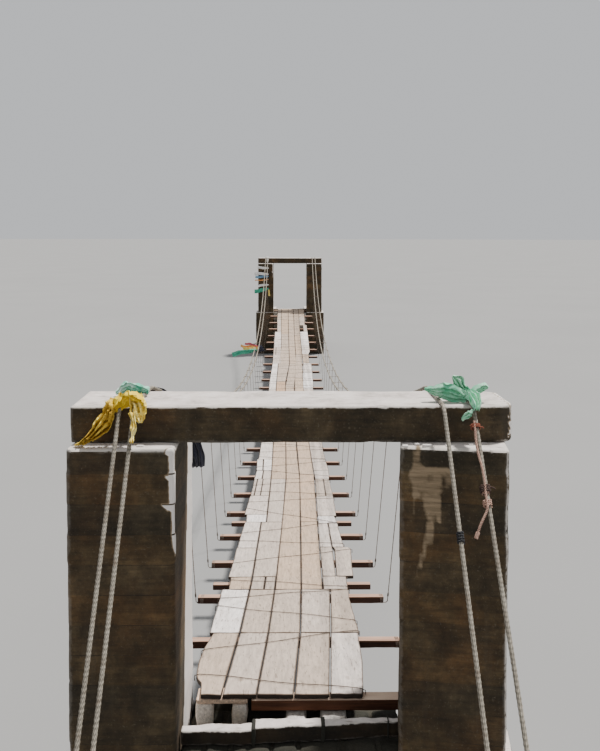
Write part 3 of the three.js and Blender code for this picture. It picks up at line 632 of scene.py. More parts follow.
anchors = [f"{end}_{side}_anchor" for end in ("near", "far") for side in ("left", "right")]
for seed, node in enumerate(anchors, 61):
    skin, middle = block_in_box(node, 0.06, (0.03, 0.03, 0.025), 0.04, 0.006, seed)
    make_piece(node + "_cast", [skin.at(middle)], CONCRETE, [node])

# %% [markdown]
# The near sill lies askew in its doorway and is broken into three lengths. They run into each other a
# little, so that nothing shows through the breaks.

# %% Sills
SILL_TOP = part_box("near_sill")[1].z
SILL_THICKNESS = 0.11
SILL_LENGTHS = [  # x and front edge of both ends, the depth at each, and how far the top has sunk
    (-0.722, -15.226, -0.248, -15.226, 0.07, 0.09, 0.012),
    (-0.258, -15.222, 0.203, -15.188, 0.105, 0.08, 0.0),
    (0.193, -15.182, 0.722, -15.14, 0.07, 0.036, 0.004),
]


def sill_length(x0, y0, x1, y1, depth0, depth1, sunk, seed):
    """A slab along a piece of the front edge, deeper at one end than at the other."""
    length = x1 - x0
    slab = worn_block((length, depth0, SILL_THICKNESS - sunk), 0.018, 0.02, (0.01, 0.01, 0.012), 0.03,
                      0.004, seed, 0.0)
    points = slab.points.copy()
    part = points[:, 0] / length + 0.5
    behind = points[:, 1] / depth0 + 0.5
    points[:, 1] = y0 + (y1 - y0) * part + behind * (depth0 + (depth1 - depth0) * part)
    points[:, 1] += unevenness(points * (1, 0, 0), 0.07, seed, 3) * 0.012
    points += (MIDDLE_X + (x0 + x1) / 2, 0, SILL_TOP - SILL_THICKNESS / 2 - sunk / 2)
    return Skin(points, slab.faces, slab.tone, slab.wear)


near_sill = [sill_length(*ends, 71 + i) for i, ends in enumerate(SILL_LENGTHS)]
make_piece("near_sill_lengths", near_sill, SHADED_CONCRETE, ["near_sill"])
skin, middle = block_in_box("far_sill", 0.05, (0.012, 0.012, 0.014), 0.03, 0.004, 75)
make_piece("far_sill_slab", [skin.at(middle)], CONCRETE, ["far_sill"])

# %% [markdown]
# ## Stone
# River stones and rough blocks of the same pale rock fill the space between the pedestals. Every
# stone needs its own tone, or the wall reads as one lump, so the recipe starts from the painted tone
# and adds speckle and dust.

# %% Stone finish
STONE_TONES = [(0.0, (0.022, 0.022, 0.015)), (0.25, (0.1, 0.088, 0.064)), (0.45, (0.36, 0.31, 0.25)),
               (0.7, (0.42, 0.4, 0.37)), (1.0, (0.68, 0.65, 0.61))]
# Warm tones, paler than plain stone as painted sunlight, for the seat stones that lie in shade.
SUNLIT_WARM_TONES = [(0.0, (0.8, 0.52, 0.34)), (0.5, (0.9, 0.78, 0.66)), (1.0, (1.0, 0.94, 0.86))]


def stone_finish(name, tones):
    make = Finish(name, 0.93)
    tone = make.painted("tone")
    place = make.shifted(make.place, tone)
    base = make.ramp(tone, tones)
    speckle = make.patches([(0.35, 0.62), (0.65, 1.2)], place, 60.0, 6.0, 0.75)
    colour = make.tinted(base, speckle)
    dust = make.patches([(0.4, 0.0), (0.7, 0.6)], place, 7.0, 8.0, 0.6)
    colour = make.mix(dust, colour, make.tinted(base, (0.62, 0.55, 0.46)))
    relief = make.noise(place, 30.0, 10.0, 0.7)
    return make.done(colour, relief, 0.012)


STONE = stone_finish("rough_stone", STONE_TONES)
SUNLIT_WARM_STONE = stone_finish("painted_sunlit_warm_stone", SUNLIT_WARM_TONES)

# %% [markdown]
# ## Masonry between the pedestals
# A brick texture would look flat from the side, so the walls are real stones: blocks of uneven size
# in rough courses, each turned and rounded a little, around a core of the same stone.

# %% Rows of stones
STONE_COURSE = 0.17
LEAF = 0.2  # the thickness of the outer layer of stones
TOP_HEIGHT, TOP_LEVEL = 0.16, 0.082  # a stone on top, and how far its middle lies below the wall's top
FACE_ROW = {"lengths": (0.16, 0.36), "shortest": 0.12, "gaps": (0.004, 0.016), "turn": 0.03}
TOP_ROW = {"lengths": (0.18, 0.4), "shortest": 0.14, "gaps": (0.006, 0.02), "turn": 0.0}


def stone_skin(size, seed, tone):
    """One rough stone."""
    return worn_block(size, 0.06, 0.02, (min(size) * 0.28,) * 3, 0.02, 0.01, seed, tone, 0.12, 1)


def row_of_stones(draw, x_ends, y_ends, z, height, tones, lengths, shortest, gaps, turn):
    """Stones of chance lengths, end to end along x. What would be too short joins the last one."""
    skins = []
    x = x_ends[0]
    while x < x_ends[1] - 0.02:
        x1 = x + draw.uniform(*lengths)
        x1 = x_ends[1] if x_ends[1] - x1 < shortest else x1
        size = np.array([x1 - x, y_ends[1] - y_ends[0], height]) - draw.uniform(*gaps, 3)
        stone = stone_skin(tuple(size), int(draw.integers(1, 9000)), draw.uniform(*tones))
        angle = draw.uniform(-turn, turn) if turn else 0.0
        place = Matrix.Translation(((x + x1) / 2, sum(y_ends) / 2, z))
        skins.append(stone.moved(place @ Matrix.Rotation(angle, 4, "Z")))
        x = x1
    return skins


def rubble_wall(low, high, seed, tones):
    """Stones that fill the outer layer of a box, over a core that shows only in the joints."""
    low, high = np.array(low), np.array(high)
    core = worn_block(tuple(high - low - 0.05), 0.2, 0.02, seed=seed, tone=0.1)
    skins = [core.at((low + high) / 2)]
    courses = max(1, round((high[2] - low[2]) / STONE_COURSE))
    heights = np.linspace(low[2], high[2], courses + 1)
    draw = np.random.default_rng(seed)
    x_ends = (low[0], high[0])
    for z0, z1 in zip(heights[:-1], heights[1:]):
        for y_ends in ((low[1], low[1] + LEAF), (high[1] - LEAF, high[1])):
            skins += row_of_stones(draw, x_ends, y_ends, (z0 + z1) / 2, z1 - z0, tones, **FACE_ROW)
    inside = high[1] - low[1] - 2 * LEAF
    y_lines = np.linspace(low[1] + LEAF, high[1] - LEAF, max(2, round(inside / 0.25) + 1))
    for y_ends in zip(y_lines[:-1], y_lines[1:]):
        if y_ends[1] - y_ends[0] > 0.06:
            skins += row_of_stones(draw, x_ends, y_ends, high[2] - TOP_LEVEL, TOP_HEIGHT, tones, **TOP_ROW)
    return skins

# %% [markdown]
# The walls follow the steps of the CAD solid, because the sill and the cross beam bear on them. The
# near ones run on past it, to meet the foot of the turned pier. Two pale stones carry the near beam.

# %% Rubble walls
# The near walls take the darkest tones, as painted shade; the far walls take the usual range.
SHADE_DARK_STONE, USUAL_STONE = (0.0, 0.08), (0.2, 0.95)
TO_THE_PIER = 0.13  # how far the near walls run on past the CAD solid
WALL_SPLIT = 0.36  # the wall under the sill, from the landward face of the masonry
STEP_TOP = 1.855  # the lower step of the near masonry, which carries the cross beam's stones
BEAM_STONES = [(-0.04, 0.1), (0.2, 0.38)]  # the ends of each, from the middle of the portal
BEAM_STONES_Y = -14.83
for end, toward_river in (("near", 1), ("far", -1)):
    near = end == "near"
    low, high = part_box(end + "_abutment")
    sill_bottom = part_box(end + "_sill")[0].z
    beam_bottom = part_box(end + "_cross_beam")[0].z
    land = low.y if near else high.y
    river = high.y if near else low.y
    split = land + toward_river * WALL_SPLIT
    step_top = STEP_TOP if near else beam_bottom - 0.001
    end_x = high.x + (TO_THE_PIER if near else 0)
    wall = [(low.x, min(land, split), 0), (end_x, max(land, split), sill_bottom - 0.001)]
    step = [(low.x, min(river, split), 0), (end_x, max(river, split), step_top)]
    tones = SHADE_DARK_STONE if near else USUAL_STONE
    skins = rubble_wall(*wall, 81, tones) + rubble_wall(*step, 83, tones)
    for x0, x1 in (BEAM_STONES if near else []):
        seat = stone_skin((x1 - x0, 0.3, beam_bottom - STEP_TOP + 0.02), 85, 1.0)
        seat_z = (beam_bottom + STEP_TOP - 0.02) / 2
        skins.append(seat.at(((x0 + x1) / 2 + MIDDLE_X, BEAM_STONES_Y, seat_z)))
    make_piece(end + "_rubble_masonry", skins, STONE, [end + "_abutment"])

# %% [markdown]
# Dark plugs fill the breaks of the near sill, as painted shade in the gaps.

# %% Painted shade in the breaks
SILL_BREAKS = [  # x, front edge, depth and width of each
    (-0.252, -15.234, 0.115, 0.024), (0.2, -15.198, 0.095, 0.028), (0.63, -15.158, 0.06, 0.012)]
shade_plugs = []
for seed, (x, front_y, depth, width) in enumerate(SILL_BREAKS, 96):
    plug = stone_skin((width, depth, SILL_THICKNESS + 0.004), seed, 0.0)
    place = Matrix.Translation((MIDDLE_X + x, front_y + depth / 2, SILL_TOP - SILL_THICKNESS / 2))
    shade_plugs.append(plug.moved(place))
make_piece("near_sill_shade_plugs_in_breaks", shade_plugs, STONE)

# %% [markdown]
# The left side of the first boards lies on a flat slab, and the slab on two stones with a dark gap
# between them.

# %% Slab on two stones
SLAB_SIZE = (0.36, 0.15, 0.034)
SLAB_X = -0.49
SEAT_STONES = [(0.125, 92, 0.9, -0.612), (0.11, 93, 0.8, -0.368)]  # width, seed, tone and x of each
SEAT_Y = -14.765
slab_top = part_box("near_seat_stones")[1].z
slab = worn_block(SLAB_SIZE, 0.02, 0.015, (0.012, 0.012, 0.01), 0.02, 0.003, 91, 0.2)
slab_place = Matrix.Translation((MIDDLE_X + SLAB_X, SEAT_Y, slab_top - SLAB_SIZE[2] / 2))
seat_stones = [slab.moved(slab_place)]
stone_height = slab_top - SLAB_SIZE[2] - STEP_TOP
for width, seed, tone, x in SEAT_STONES:
    stone = stone_skin((width, SLAB_SIZE[1], stone_height), seed, tone)
    place = Matrix.Translation((MIDDLE_X + x, SEAT_Y - 0.008, STEP_TOP + stone_height / 2))
    seat_stones.append(stone.moved(place))
make_piece("seat_slab_and_stones", seat_stones, SUNLIT_WARM_STONE, ["near_seat_stones"])

# %% [markdown]
# ## Timber
# The boards have lain in strong sun for years: some have gone beige and pink, some silver, some
# nearly white. Grain is a noise drawn out along the board. The cracks are the same noise, cut off
# high, and they go dark because dust gathers in them. The sides and ends of the boards are darkened
# as painted shade. The bearers are a red-brown wood, and their grain runs across the bridge. Their
# tops are painted as sunlit and their sides as shaded.

# %% Timber finishes
BOARD_TONES = [(0.0, (0.53, 0.32, 0.185)), (0.25, (0.52, 0.375, 0.26)), (0.55, (0.47, 0.385, 0.315)),
               (0.8, (0.6, 0.52, 0.46)), (1.0, (0.88, 0.83, 0.8))]
BEARER_SHADED_SIDES = [(0.3, (0.022, 0.008, 0.004)), (0.5, (0.058, 0.021, 0.009)), (0.7, (0.115, 0.045, 0.02))]


def board_finish():
    make = Finish("weathered_boards", 0.88)
    tone = make.painted("tone")
    place = make.shifted(make.place, tone)
    grain = make.noise(make.stretched(place, (38.0, 1.6, 38.0)), 1.0, 9.0, 0.68)
    streaks = make.ramp(grain, [(0.3, 0.7), (0.62, 1.12)])
    colour = make.tinted(make.ramp(tone, BOARD_TONES), streaks)
    cloudy = make.noise(place, 3.5, 5.0)
    colour = make.mix(make.ramp(cloudy, [(0.45, 0.0), (0.8, 0.45)]), colour, (0.4, 0.33, 0.275))
    drawn_out = make.stretched(place, (70.0, 1.1, 70.0))
    cracks = make.patches([(0.62, 0.0), (0.68, 1.0)], drawn_out, 1.0, 4.0, 0.5)
    colour = make.mix(make.times(cracks, 0.55), colour, (0.16, 0.12, 0.09))
    knots = make.patches([(0.74, 0.0), (0.79, 1.0)], make.stretched(place, (6.0, 3.2, 6.0)), 1.0, 1.0)
    colour = make.mix(make.times(knots, 0.65), colour, (0.2, 0.14, 0.1))
    specks = make.patches([(0.62, 0.0), (0.7, 0.34)], place, 26.0, 3.0, 0.5)
    colour = make.mix(specks, colour, (0.27, 0.2, 0.15))
    seam = make.maths("ADD", make.painted("wear"), make.times(make.noise(place, 16.0, 4.0), 0.5))
    colour = make.mix(make.ramp(seam, [(0.64, 0.0), (1.0, 0.92)]), colour, (0.085, 0.055, 0.036))
    # Faces that don't look up, the sides and ends, are darkened as painted shade.
    below = make.ramp(make.facing()["Z"], [(0.2, 1.0), (0.6, 0.0)])
    colour = make.mix(make.times(below, 0.95), colour, (0.035, 0.024, 0.016))
    relief = make.mix(0.5, grain, make.maths("SUBTRACT", 1.0, cracks))
    return make.done(colour, relief, 0.004)


def bearer_finish(name, sunlit_top_dark, sunlit_top_light, sides=1.0):
    """Red-brown wood with a pale top and nearly black sides, painted sunlight and shade. sides says how
    many times lighter than usual its sides are.
    """
    make = Finish(name, 0.85)
    place = make.shifted(make.place, make.painted("tone"))
    grain = make.noise(make.stretched(place, (2.2, 50.0, 50.0)), 1.0, 8.0, 0.66)
    colour = make.ramp(grain, [(at, [part * sides for part in shade]) for at, shade in BEARER_SHADED_SIDES])
    top = make.ramp(grain, [(0.3, sunlit_top_dark), (0.65, sunlit_top_light)])
    colour = make.mix(make.ramp(make.facing()["Z"], [(0.5, 0.0), (0.8, 1.0)]), colour, top)
    return make.done(colour, grain, 0.004)


BOARDS = board_finish()
BEARERS = bearer_finish("red_brown_bearers", (0.27, 0.14, 0.09), (0.56, 0.37, 0.27))
# The cross beams get a paler top, as painted sunlight where the piers shade them.
SUNLIT_TOPPED = bearer_finish("painted_sunlit_top_beam", (0.6, 0.4, 0.28), (0.9, 0.7, 0.54), 2.2)

# %% [markdown]
# ## The line of the deck
# The deck hangs in a shallow curve, made of thirteen straight courses. Everything on it asks the
# same two questions: how high is the walking surface here, and how steep is it.

# %% Deck line
DECK_NEAR_TOP, DECK_FAR_TOP = 2.1, 1.925
DECK_SAG = 1.11
DECK_HALF = 14.85
COURSES = 13
course_y = np.linspace(-DECK_HALF, DECK_HALF, COURSES + 1)


def curve_height(y):
    place = y / DECK_HALF
    level = (DECK_NEAR_TOP + DECK_FAR_TOP) / 2 + (DECK_FAR_TOP - DECK_NEAR_TOP) / 2 * place
    return level - DECK_SAG * (1 - place ** 2)


def curve_slope(y):
    return ((DECK_FAR_TOP - DECK_NEAR_TOP) / 2 + 2 * DECK_SAG * y / DECK_HALF) / DECK_HALF


def deck_height(y):
    """The top of the straight courses."""
    return np.interp(y, course_y, curve_height(course_y))


def course_at(y):
    return int(np.clip(np.searchsorted(course_y, y) - 1, 0, COURSES - 1))


print("lowest board:", round(float(deck_height(0.0)), 3))

# %% [markdown]
# ## Boards
# The picture shows five boards side by side. The three in the middle are long, and the outer two are
# short lengths, often split in two, with ragged edges. Six lines run along the deck: its two edges
# and the four seams. Each is a row of (distance along the bridge, distance from the middle line) in
# metres. The stretch that the near lintel hides, from -4 to +1.6 m, is filled in by chance.

# %% The seams
BOARD_THICKNESS = 0.038
SEAMS = [
    [(-14.85, -0.642), (-14.62, -0.662), (-14.58, -0.702), (-14.45, -0.712), (-14.25, -0.717),
     (-14.0, -0.708), (-13.68, -0.669), (-13.66, -0.697), (-13.06, -0.7), (-12.5, -0.695),
     (-12.48, -0.63), (-12.1, -0.64), (-12.08, -0.665), (-11.02, -0.65), (-9.82, -0.63), (-9.8, -0.61),
     (-9.43, -0.62), (-9.4, -0.655), (-8.31, -0.63), (-6.6, -0.61), (-5.7, -0.64), (-5.6, -0.61),
     (2.0, -0.63), (3.08, -0.64), (5.6, -0.61), (9.75, -0.63), (10.75, -0.62), (10.77, -0.54),
     (12.94, -0.585), (14.85, -0.58)],
    [(-14.85, -0.49), (-13.67, -0.44), (-12.1, -0.41), (-9.82, -0.405), (-9.8, -0.335), (-6.6, -0.34),
     (-4.07, -0.37), (2.8, -0.43), (5.57, -0.42), (5.59, -0.33), (8.1, -0.35), (10.2, -0.38),
     (14.85, -0.43)],
    [(-14.85, -0.25), (-13.67, -0.2), (-12.1, -0.16), (-9.8, -0.12), (-7.2, -0.09), (-4.6, -0.11),
     (2.8, -0.17), (5.6, -0.05), (10.2, -0.1), (14.85, -0.13)],
    [(-14.85, 0.01), (-13.67, 0.07), (-12.1, 0.1), (-7.2, 0.14), (-4.6, 0.1), (2.8, 0.09), (5.6, 0.17),
     (10.2, 0.13), (14.85, 0.1)],
    [(-14.85, 0.26), (-13.67, 0.325), (-12.5, 0.38), (-12.48, 0.31), (-10.9, 0.33), (-7.2, 0.39),
     (-4.6, 0.36), (2.8, 0.34), (5.6, 0.39), (10.2, 0.35), (14.85, 0.32)],
    [(-14.85, 0.48), (-14.79, 0.503), (-14.26, 0.541), (-13.67, 0.562), (-12.5, 0.56), (-12.1, 0.575),
     (-12.08, 0.64), (-11.05, 0.7), (-10.95, 0.62), (-9.85, 0.61), (-9.5, 0.59), (-9.48, 0.62),
     (-8.35, 0.64), (-7.2, 0.63), (-6.6, 0.66), (-5.7, 0.63), (1.9, 0.62), (3.07, 0.65), (5.5, 0.67),
     (5.65, 0.6), (7.0, 0.6), (7.5, 0.66), (10.5, 0.65), (11.9, 0.63), (11.92, 0.56), (14.85, 0.57)],
]


def seam_place(seam, y):
    return np.interp(y, *np.transpose(SEAMS[seam]))


print("seams:", len(SEAMS), "points:", sum(len(seam) for seam in SEAMS))

# %% [markdown]
# Each of the five columns has its own joints, as distances along the bridge, and a tone for every
# board: 0 is the warmest and 1 the palest. Some boards are split along the grain, and one has lost its
# inner half.

# %% The joints
JOINTS = [
    [-14.85, -13.67, -12.49, -12.1, -11.01, -9.81, -9.42, -8.31, -7.21, -6.58, -5.66, -4.07, -2.9, -1.75,
     -0.6, 0.7, 1.8, 2.99, 4.08, 5.58, 6.93, 8.14, 9.5, 10.76, 12.94, 14.85],
    [-14.85, -13.67, -12.49, -12.09, -9.81, -7.2, -4.6, -1.9, 0.4, 2.9, 5.5, 8.14, 10.4, 12.94, 14.85],
    [-14.85, -13.67, -12.49, -7.2, -4.6, -0.9, 2.2, 5.58, 8.3, 11.4, 14.85],
    [-14.85, -13.67, -12.49, -9.8, -6.9, -3.6, 0.1, 3.4, 7.03, 10.1, 14.85],
    [-14.85, -13.67, -12.49, -12.08, -10.98, -9.88, -9.5, -8.35, -7.21, -6.58, -5.66, -4.07, -2.8, -1.6,
     -0.4, 0.8, 1.97, 3.08, 4.2, 5.63, 7.03, 8.47, 9.44, 10.76, 11.89, 13.36, 14.85],
]
WHITE, SILVER, GREY, BEIGE, PINK = 0.97, 0.82, 0.6, 0.3, 0.1
TONES = [
    [0.5, WHITE, 0.35, 0.72, SILVER, WHITE, 0.8, 0.75, SILVER, WHITE, SILVER, 0.7, SILVER, 0.8, GREY,
     SILVER, 0.9, WHITE, 0.95, SILVER, 0.7, 0.85, 0.9, 0.75, 0.45],
    [0.62, 0.55, 0.6, 0.62, 0.66, 0.35, BEIGE, GREY, 0.15, 0.5, 0.45, 0.5, BEIGE, 0.4],
    [0.6, 0.56, BEIGE, BEIGE, 0.35, 0.42, 0.5, 0.38, 0.45, 0.35],
    [0.48, 0.62, 0.22, 0.26, BEIGE, PINK, 0.35, 0.45, 0.3, 0.4],
    [0.86, 0.5, 0.7, 0.62, SILVER, WHITE, 0.78, GREY, 0.85, SILVER, 0.75, 0.8, GREY, SILVER, WHITE, 0.8,
     WHITE, WHITE, SILVER, 0.45, 0.88, 0.95, WHITE, 0.8, 0.6, 0.4],
]
# the split boards, by column and number from the near end, and the cuts as shares of the column
SPLITS = {(0, 7): [0, 0.2, 0.53, 1], (0, 8): [0, 0.46, 1], (0, 9): [0, 0.42, 1], (0, 20): [0, 0.3, 1],
          (1, 2): [0, 0.56, 1], (4, 3): [0, 0.46, 1], (4, 4): [0, 0.51, 1], (4, 7): [0, 0.57, 1],
          (4, 13): [0, 0.5, 1], (0, 12): [0, 0.55, 1]}
LOST = {(4, 23): 0.5}  # the inner share of this board is gone, which leaves a hole
boards = []
for column, joints in enumerate(JOINTS):
    for row, (start, end) in enumerate(zip(joints[:-1], joints[1:])):
        cuts = SPLITS.get((column, row), [LOST.get((column, row), 0), 1])
        for left, right in zip(cuts, cuts[1:]):
            boards.append((column, start, end, left, right, TONES[column][row]))
print("boards:", len(boards))

# %% [markdown]
# One board is a worn block whose sides follow its two seams and whose length follows the line of the
# deck. Its ends are sawn a little askew, it cups and twists by a few millimetres, and the outer side
# of an outer board wanders. The seams are tight, and dirt has darkened them.

# %% Make the boards
board_draw = np.random.default_rng(7)


def board_skin(column, start, end, left, right, tone, seed):
    gaps = board_draw.uniform(0.002, 0.006, 2)
    length = end - start - board_draw.uniform(0.004, 0.012)
    middle = (start + end) / 2
    outer = (column == 0 and left == 0) or (column == 4 and right == 1)
    stations = np.linspace(-0.5, 0.5, 27 if outer else 2)
    inside = middle + 2 * (length / 2 - 0.02) * stations  # clear of the jumps at the joints
    column_start, column_end = seam_place(column, inside), seam_place(column + 1, inside)
    low_side = column_start + (column_end - column_start) * left
    high_side = column_start + (column_end - column_start) * right
    width = float(np.mean(high_side - low_side))
    block = worn_block((width, length, BOARD_THICKNESS - 0.004), 0.06, 0.012,
                       (0.006, 0.008, 0.005), 0.008, 0.0012, seed, tone, 0.12, 2)
    points = block.points.copy()
    across = points[:, 0] / width
    along = points[:, 1] / length
    askew, cup, twist = board_draw.uniform((-0.008, -0.008, -0.004), (0.008, 0.01, 0.004))
    points[:, 1] += askew * across * 2 * np.abs(along)
    ends = np.abs(along) > 0.47
    points[:, 1] += ends * unevenness(points * (1, 0, 0) + seed, 0.05, seed, 2) * 0.006
    x0 = np.interp(along, stations, low_side) + gaps[0]
    x1 = np.interp(along, stations, high_side) - gaps[1]
    points[:, 0] = x0 + (x1 - x0) * (across + 0.5) + MIDDLE_X
    if outer:
        outside = np.clip((across if column else -across) * 4 - 1, 0, 1)
        wander = unevenness(points * (0, 1, 0) + seed, 0.3, seed, 3)
        points[:, 0] += outside * wander * 0.011
    points[:, 2] += cup * (across ** 2 - 0.1) + twist * across * along
    points[:, 1] += middle
    points[:, 2] += deck_height(points[:, 1]) - BOARD_THICKNESS / 2
    tone = float(np.clip(tone + board_draw.uniform(-0.05, 0.05), 0, 1))
    return Skin(points, block.faces, tone, block.wear)


course_boards = {index: [] for index in range(COURSES)}
for seed, (column, start, end, left, right, tone) in enumerate(boards, 200):
    skin = board_skin(column, start, end, left, right, tone, seed)
    course_boards[course_at((start + end) / 2)].append(skin)
for index, skins in course_boards.items():
    make_piece(f"boards_{index + 1:02d}", skins, BOARDS, [f"deck_course_{index + 1:02d}"])

# %% [markdown]
# ## Bearers and cross beams
# Under each joint of the courses, and under the middle of each, lies a rough bearer that sticks out
# on both sides for the hangers. No two are cut to quite the same length.

# %% Bearers
BEARER_SIZE = (1.85, 0.095, 0.062)
UNDER_BOARDS = BOARD_THICKNESS + BEARER_SIZE[2] / 2
BEARER_ROUNDING = (0.008, 0.007, 0.007)


def bearer_place(y, slope):
    """The middle of a bearer under the deck at y."""
    lift = Vector((0, math.sin(slope) * UNDER_BOARDS, -math.cos(slope) * UNDER_BOARDS))
    return Vector((MIDDLE_X, y, float(deck_height(y)))) + lift


bearers = []
for index in range(COURSES):
    y = (course_y[index] + course_y[index + 1]) / 2
    rise = curve_height(course_y[index + 1]) - curve_height(course_y[index])
    bearers.append((y, math.atan2(rise, course_y[1] - course_y[0]), f"deck_course_{index + 1:02d}"))
    if index:
        y = course_y[index]
        bearers.append((y, math.atan(curve_slope(y)), f"bearer_{index:02d}"))
bearers.sort()

for number, (y, slope, node) in enumerate(bearers, 1):
    cut = chance.uniform(0, 0.03, 2)
    block = worn_block((BEARER_SIZE[0] - cut.sum(), *BEARER_SIZE[1:]), 0.06, 0.012, BEARER_ROUNDING,
                       0.012, 0.002, 300 + number, number / 26, 0.2, 2)
    place = Matrix.Translation(bearer_place(y, slope)) @ Matrix.Rotation(slope, 4, "X")
    place = place @ Matrix.Translation(((cut[0] - cut[1]) / 2, 0, 0))
    make_piece(f"timber_bearer_{number:02d}", [block.moved(place)], BEARERS, [node])

# %% [markdown]
# Two more bearers are short and no hanger holds them. A cross beam carries each end of the deck.

# %% Short bearers and cross beams
SHORT_BEARER_SIZE = (1.62, 0.085, 0.055)
SHORT_BEARERS_Y = (-12.19, -9.66)
BEAM_WIDTH, BEAM_HEIGHT, BEAM_FRONT = 0.1, 0.076, 14.85
NEAR_BEAM_START = -0.285  # from the middle of the portal
NEAR_BEAM_EXTRA = 0.075  # how far it runs on past its CAD node
for number, y in enumerate(SHORT_BEARERS_Y, 1):
    block = worn_block(SHORT_BEARER_SIZE, 0.06, 0.012, BEARER_ROUNDING, 0.012, 0.002, 330 + number,
                       0.3 * number, 0.2)
    rise = float(deck_height(y + 0.1) - deck_height(y - 0.1))
    place = Matrix.Translation((MIDDLE_X, y, float(deck_height(y)) - BOARD_THICKNESS - 0.03))
    place = place @ Matrix.Rotation(math.atan2(rise, 0.2), 4, "X")
    make_piece(f"short_bearer_{number}", [block.moved(place)], BEARERS)
for node, seed in (("near_cross_beam", 341), ("far_cross_beam", 342)):
    near = node == "near_cross_beam"
    low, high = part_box(node)
    start_x = MIDDLE_X + NEAR_BEAM_START if near else low.x
    end_x = high.x + (NEAR_BEAM_EXTRA if near else 0)
    size = (end_x - start_x, BEAM_WIDTH, BEAM_HEIGHT)
    skin = worn_block(size, 0.04, 0.02, (0.008, 0.008, 0.008), 0.014, 0.003, seed, 0.3)
    front_y = math.copysign(BEAM_FRONT - BEAM_WIDTH / 2, low.y)
    middle = ((start_x + end_x) / 2, front_y, high.z - BEAM_HEIGHT / 2)
    make_piece(node + "_timber", [skin.at(middle)], SUNLIT_TOPPED, [node])

# %% [markdown]
# ## Wire rope
# A wire rope is six strands laid round a core. Modelling every wire would take millions of faces. A
# tube whose section has six lobes, and which turns as it goes, gives the same outline and the same
# shadows for a thousandth of that. The valleys between the strands are painted as wear, and the
# material darkens them.

# %% Laid ropes
def frames_along(route, step):
    """Evenly spaced points on a route, with two directions across it at each."""
    route = np.asarray(route, float)
    lengths = np.concatenate([[0], np.cumsum(np.linalg.norm(np.diff(route, axis=0), axis=1))])
    count = max(2, int(math.ceil(lengths[-1] / step)) + 1)
    places = np.linspace(0, lengths[-1], count)
    points = np.stack([np.interp(places, lengths, route[:, axis]) for axis in range(3)], 1)
    ahead = np.gradient(points, axis=0)
    ahead /= np.linalg.norm(ahead, axis=1, keepdims=True)
    side = np.cross(ahead[0], (0, 0, 1.0) if abs(ahead[0][2]) < 0.9 else (1.0, 0, 0))
    sides = []
    for direction in ahead:
        side = side - direction * side.dot(direction)
        side /= np.linalg.norm(side)
        sides.append(side)
    sides = np.array(sides)
    return points, sides, np.cross(ahead, sides), places


def laid_rope(route, diameter, strands=6, lay=0.2, rings=6, per_strand=2, valley=0.8):
    """A rope of twisted strands along a route, closed at both ends."""
    points, side, up, places = frames_along(route, lay / rings)
    corners = strands * per_strand
    corner = np.arange(corners)
    in_valley = corner % per_strand == 0
    radius = diameter / 2 * np.where(in_valley, valley, 1.0)
    angle = corner[None] / corners * 2 * math.pi + places[:, None] / lay * 2 * math.pi
    ring = (side[:, None] * np.cos(angle)[..., None] + up[:, None] * np.sin(angle)[..., None])
    skin_points = (points[:, None] + ring * radius[None, :, None]).reshape(-1, 3)
    faces = []
    for row in range(len(points) - 1):
        base = row * corners
        for c in range(corners):
            d = (c + 1) % corners
            faces.append([base + c, base + d, base + corners + d, base + corners + c])
    faces.append(list(range(corners))[::-1])
    faces.append(list(range((len(points) - 1) * corners, len(points) * corners)))
    wear = np.tile(np.where(in_valley, 0.0, 1.0), len(points))
    return Skin(skin_points, faces, wear=wear)


def wire_finish(name, light, dark, rust, metallic, roughness):
    make = Finish(name, roughness, metallic)
    clouds = make.noise(make.place, 7.0, 6.0, 0.6)
    colour = make.mix(make.ramp(clouds, [(0.35, 0.0), (0.7, 1.0)]), light, dark)
    patches = make.patches([(0.52, 0.0), (0.7, 0.75)], make.place, 18.0, 5.0, 0.6)
    colour = make.mix(patches, colour, rust)
    valleys = make.ramp(make.painted("wear"), [(0.0, 0.8), (0.7, 0.0)])
    colour = make.mix(valleys, colour, (0.05, 0.04, 0.03))
    turns = make.node("ShaderNodeTexWave", {"Vector": make.place, "Scale": 16.0, "Distortion": 1.5},
                      bands_direction="Z").outputs["Fac"]
    colour = make.tinted(colour, make.ramp(turns, [(0.2, 0.72), (0.7, 1.1)]))
    wires = make.noise(make.place, 260.0, 3.0)
    return make.done(colour, wires, 0.0012)


ROPE_STEEL = wire_finish("dull_wire_rope", (0.4, 0.365, 0.3), (0.27, 0.24, 0.19), (0.2, 0.145, 0.1),
                         0.1, 0.65)
HANGER_WIRE = wire_finish("rusty_hanger_wire", (0.36, 0.3, 0.25), (0.25, 0.18, 0.14), (0.2, 0.11, 0.07),
                          0.3, 0.65)

# %% [markdown]
# ## The four main ropes
# Each rope comes out of its anchor block, runs straight up to the lintel, bends over it, hangs in a
# parabola and goes down the other side in the same way. The hangers draw the ropes in towards the
# deck, so on plan the ropes are nearest to it at mid-span.

# %% Routes of the ropes
LINTEL_TOP = 4.2
ROPE_DIAMETER = 0.028
ROPE_REST = LINTEL_TOP + ROPE_DIAMETER / 2
ROPE_SAG = 2.1
ROPE_PINCH = 0.11
ROPE_REACH = 14.773
SPAN_BEND, LAND_BEND = 0.65, 0.14
LAND_START = 15.227
ANCHOR_TOP = 1.75
SOCKET_DEPTH = 0.22
ropes = {  # x at the near and at the far portal, and the slope of the near end in degrees
    "left_outer_rope": (-1.082, -1.13, 55), "left_inner_rope": (-0.993, -1.03, 54),
    "right_inner_rope": (0.948, 0.93, 51), "right_outer_rope": (1.134, 1.05, 50),
}


def over_lintel(start, toward, bend, angle):
    """A point of the bend over a lintel, as distance from mid-span and height."""
    return start + toward * bend * math.sin(angle), ROPE_REST - bend * (1 - math.cos(angle))


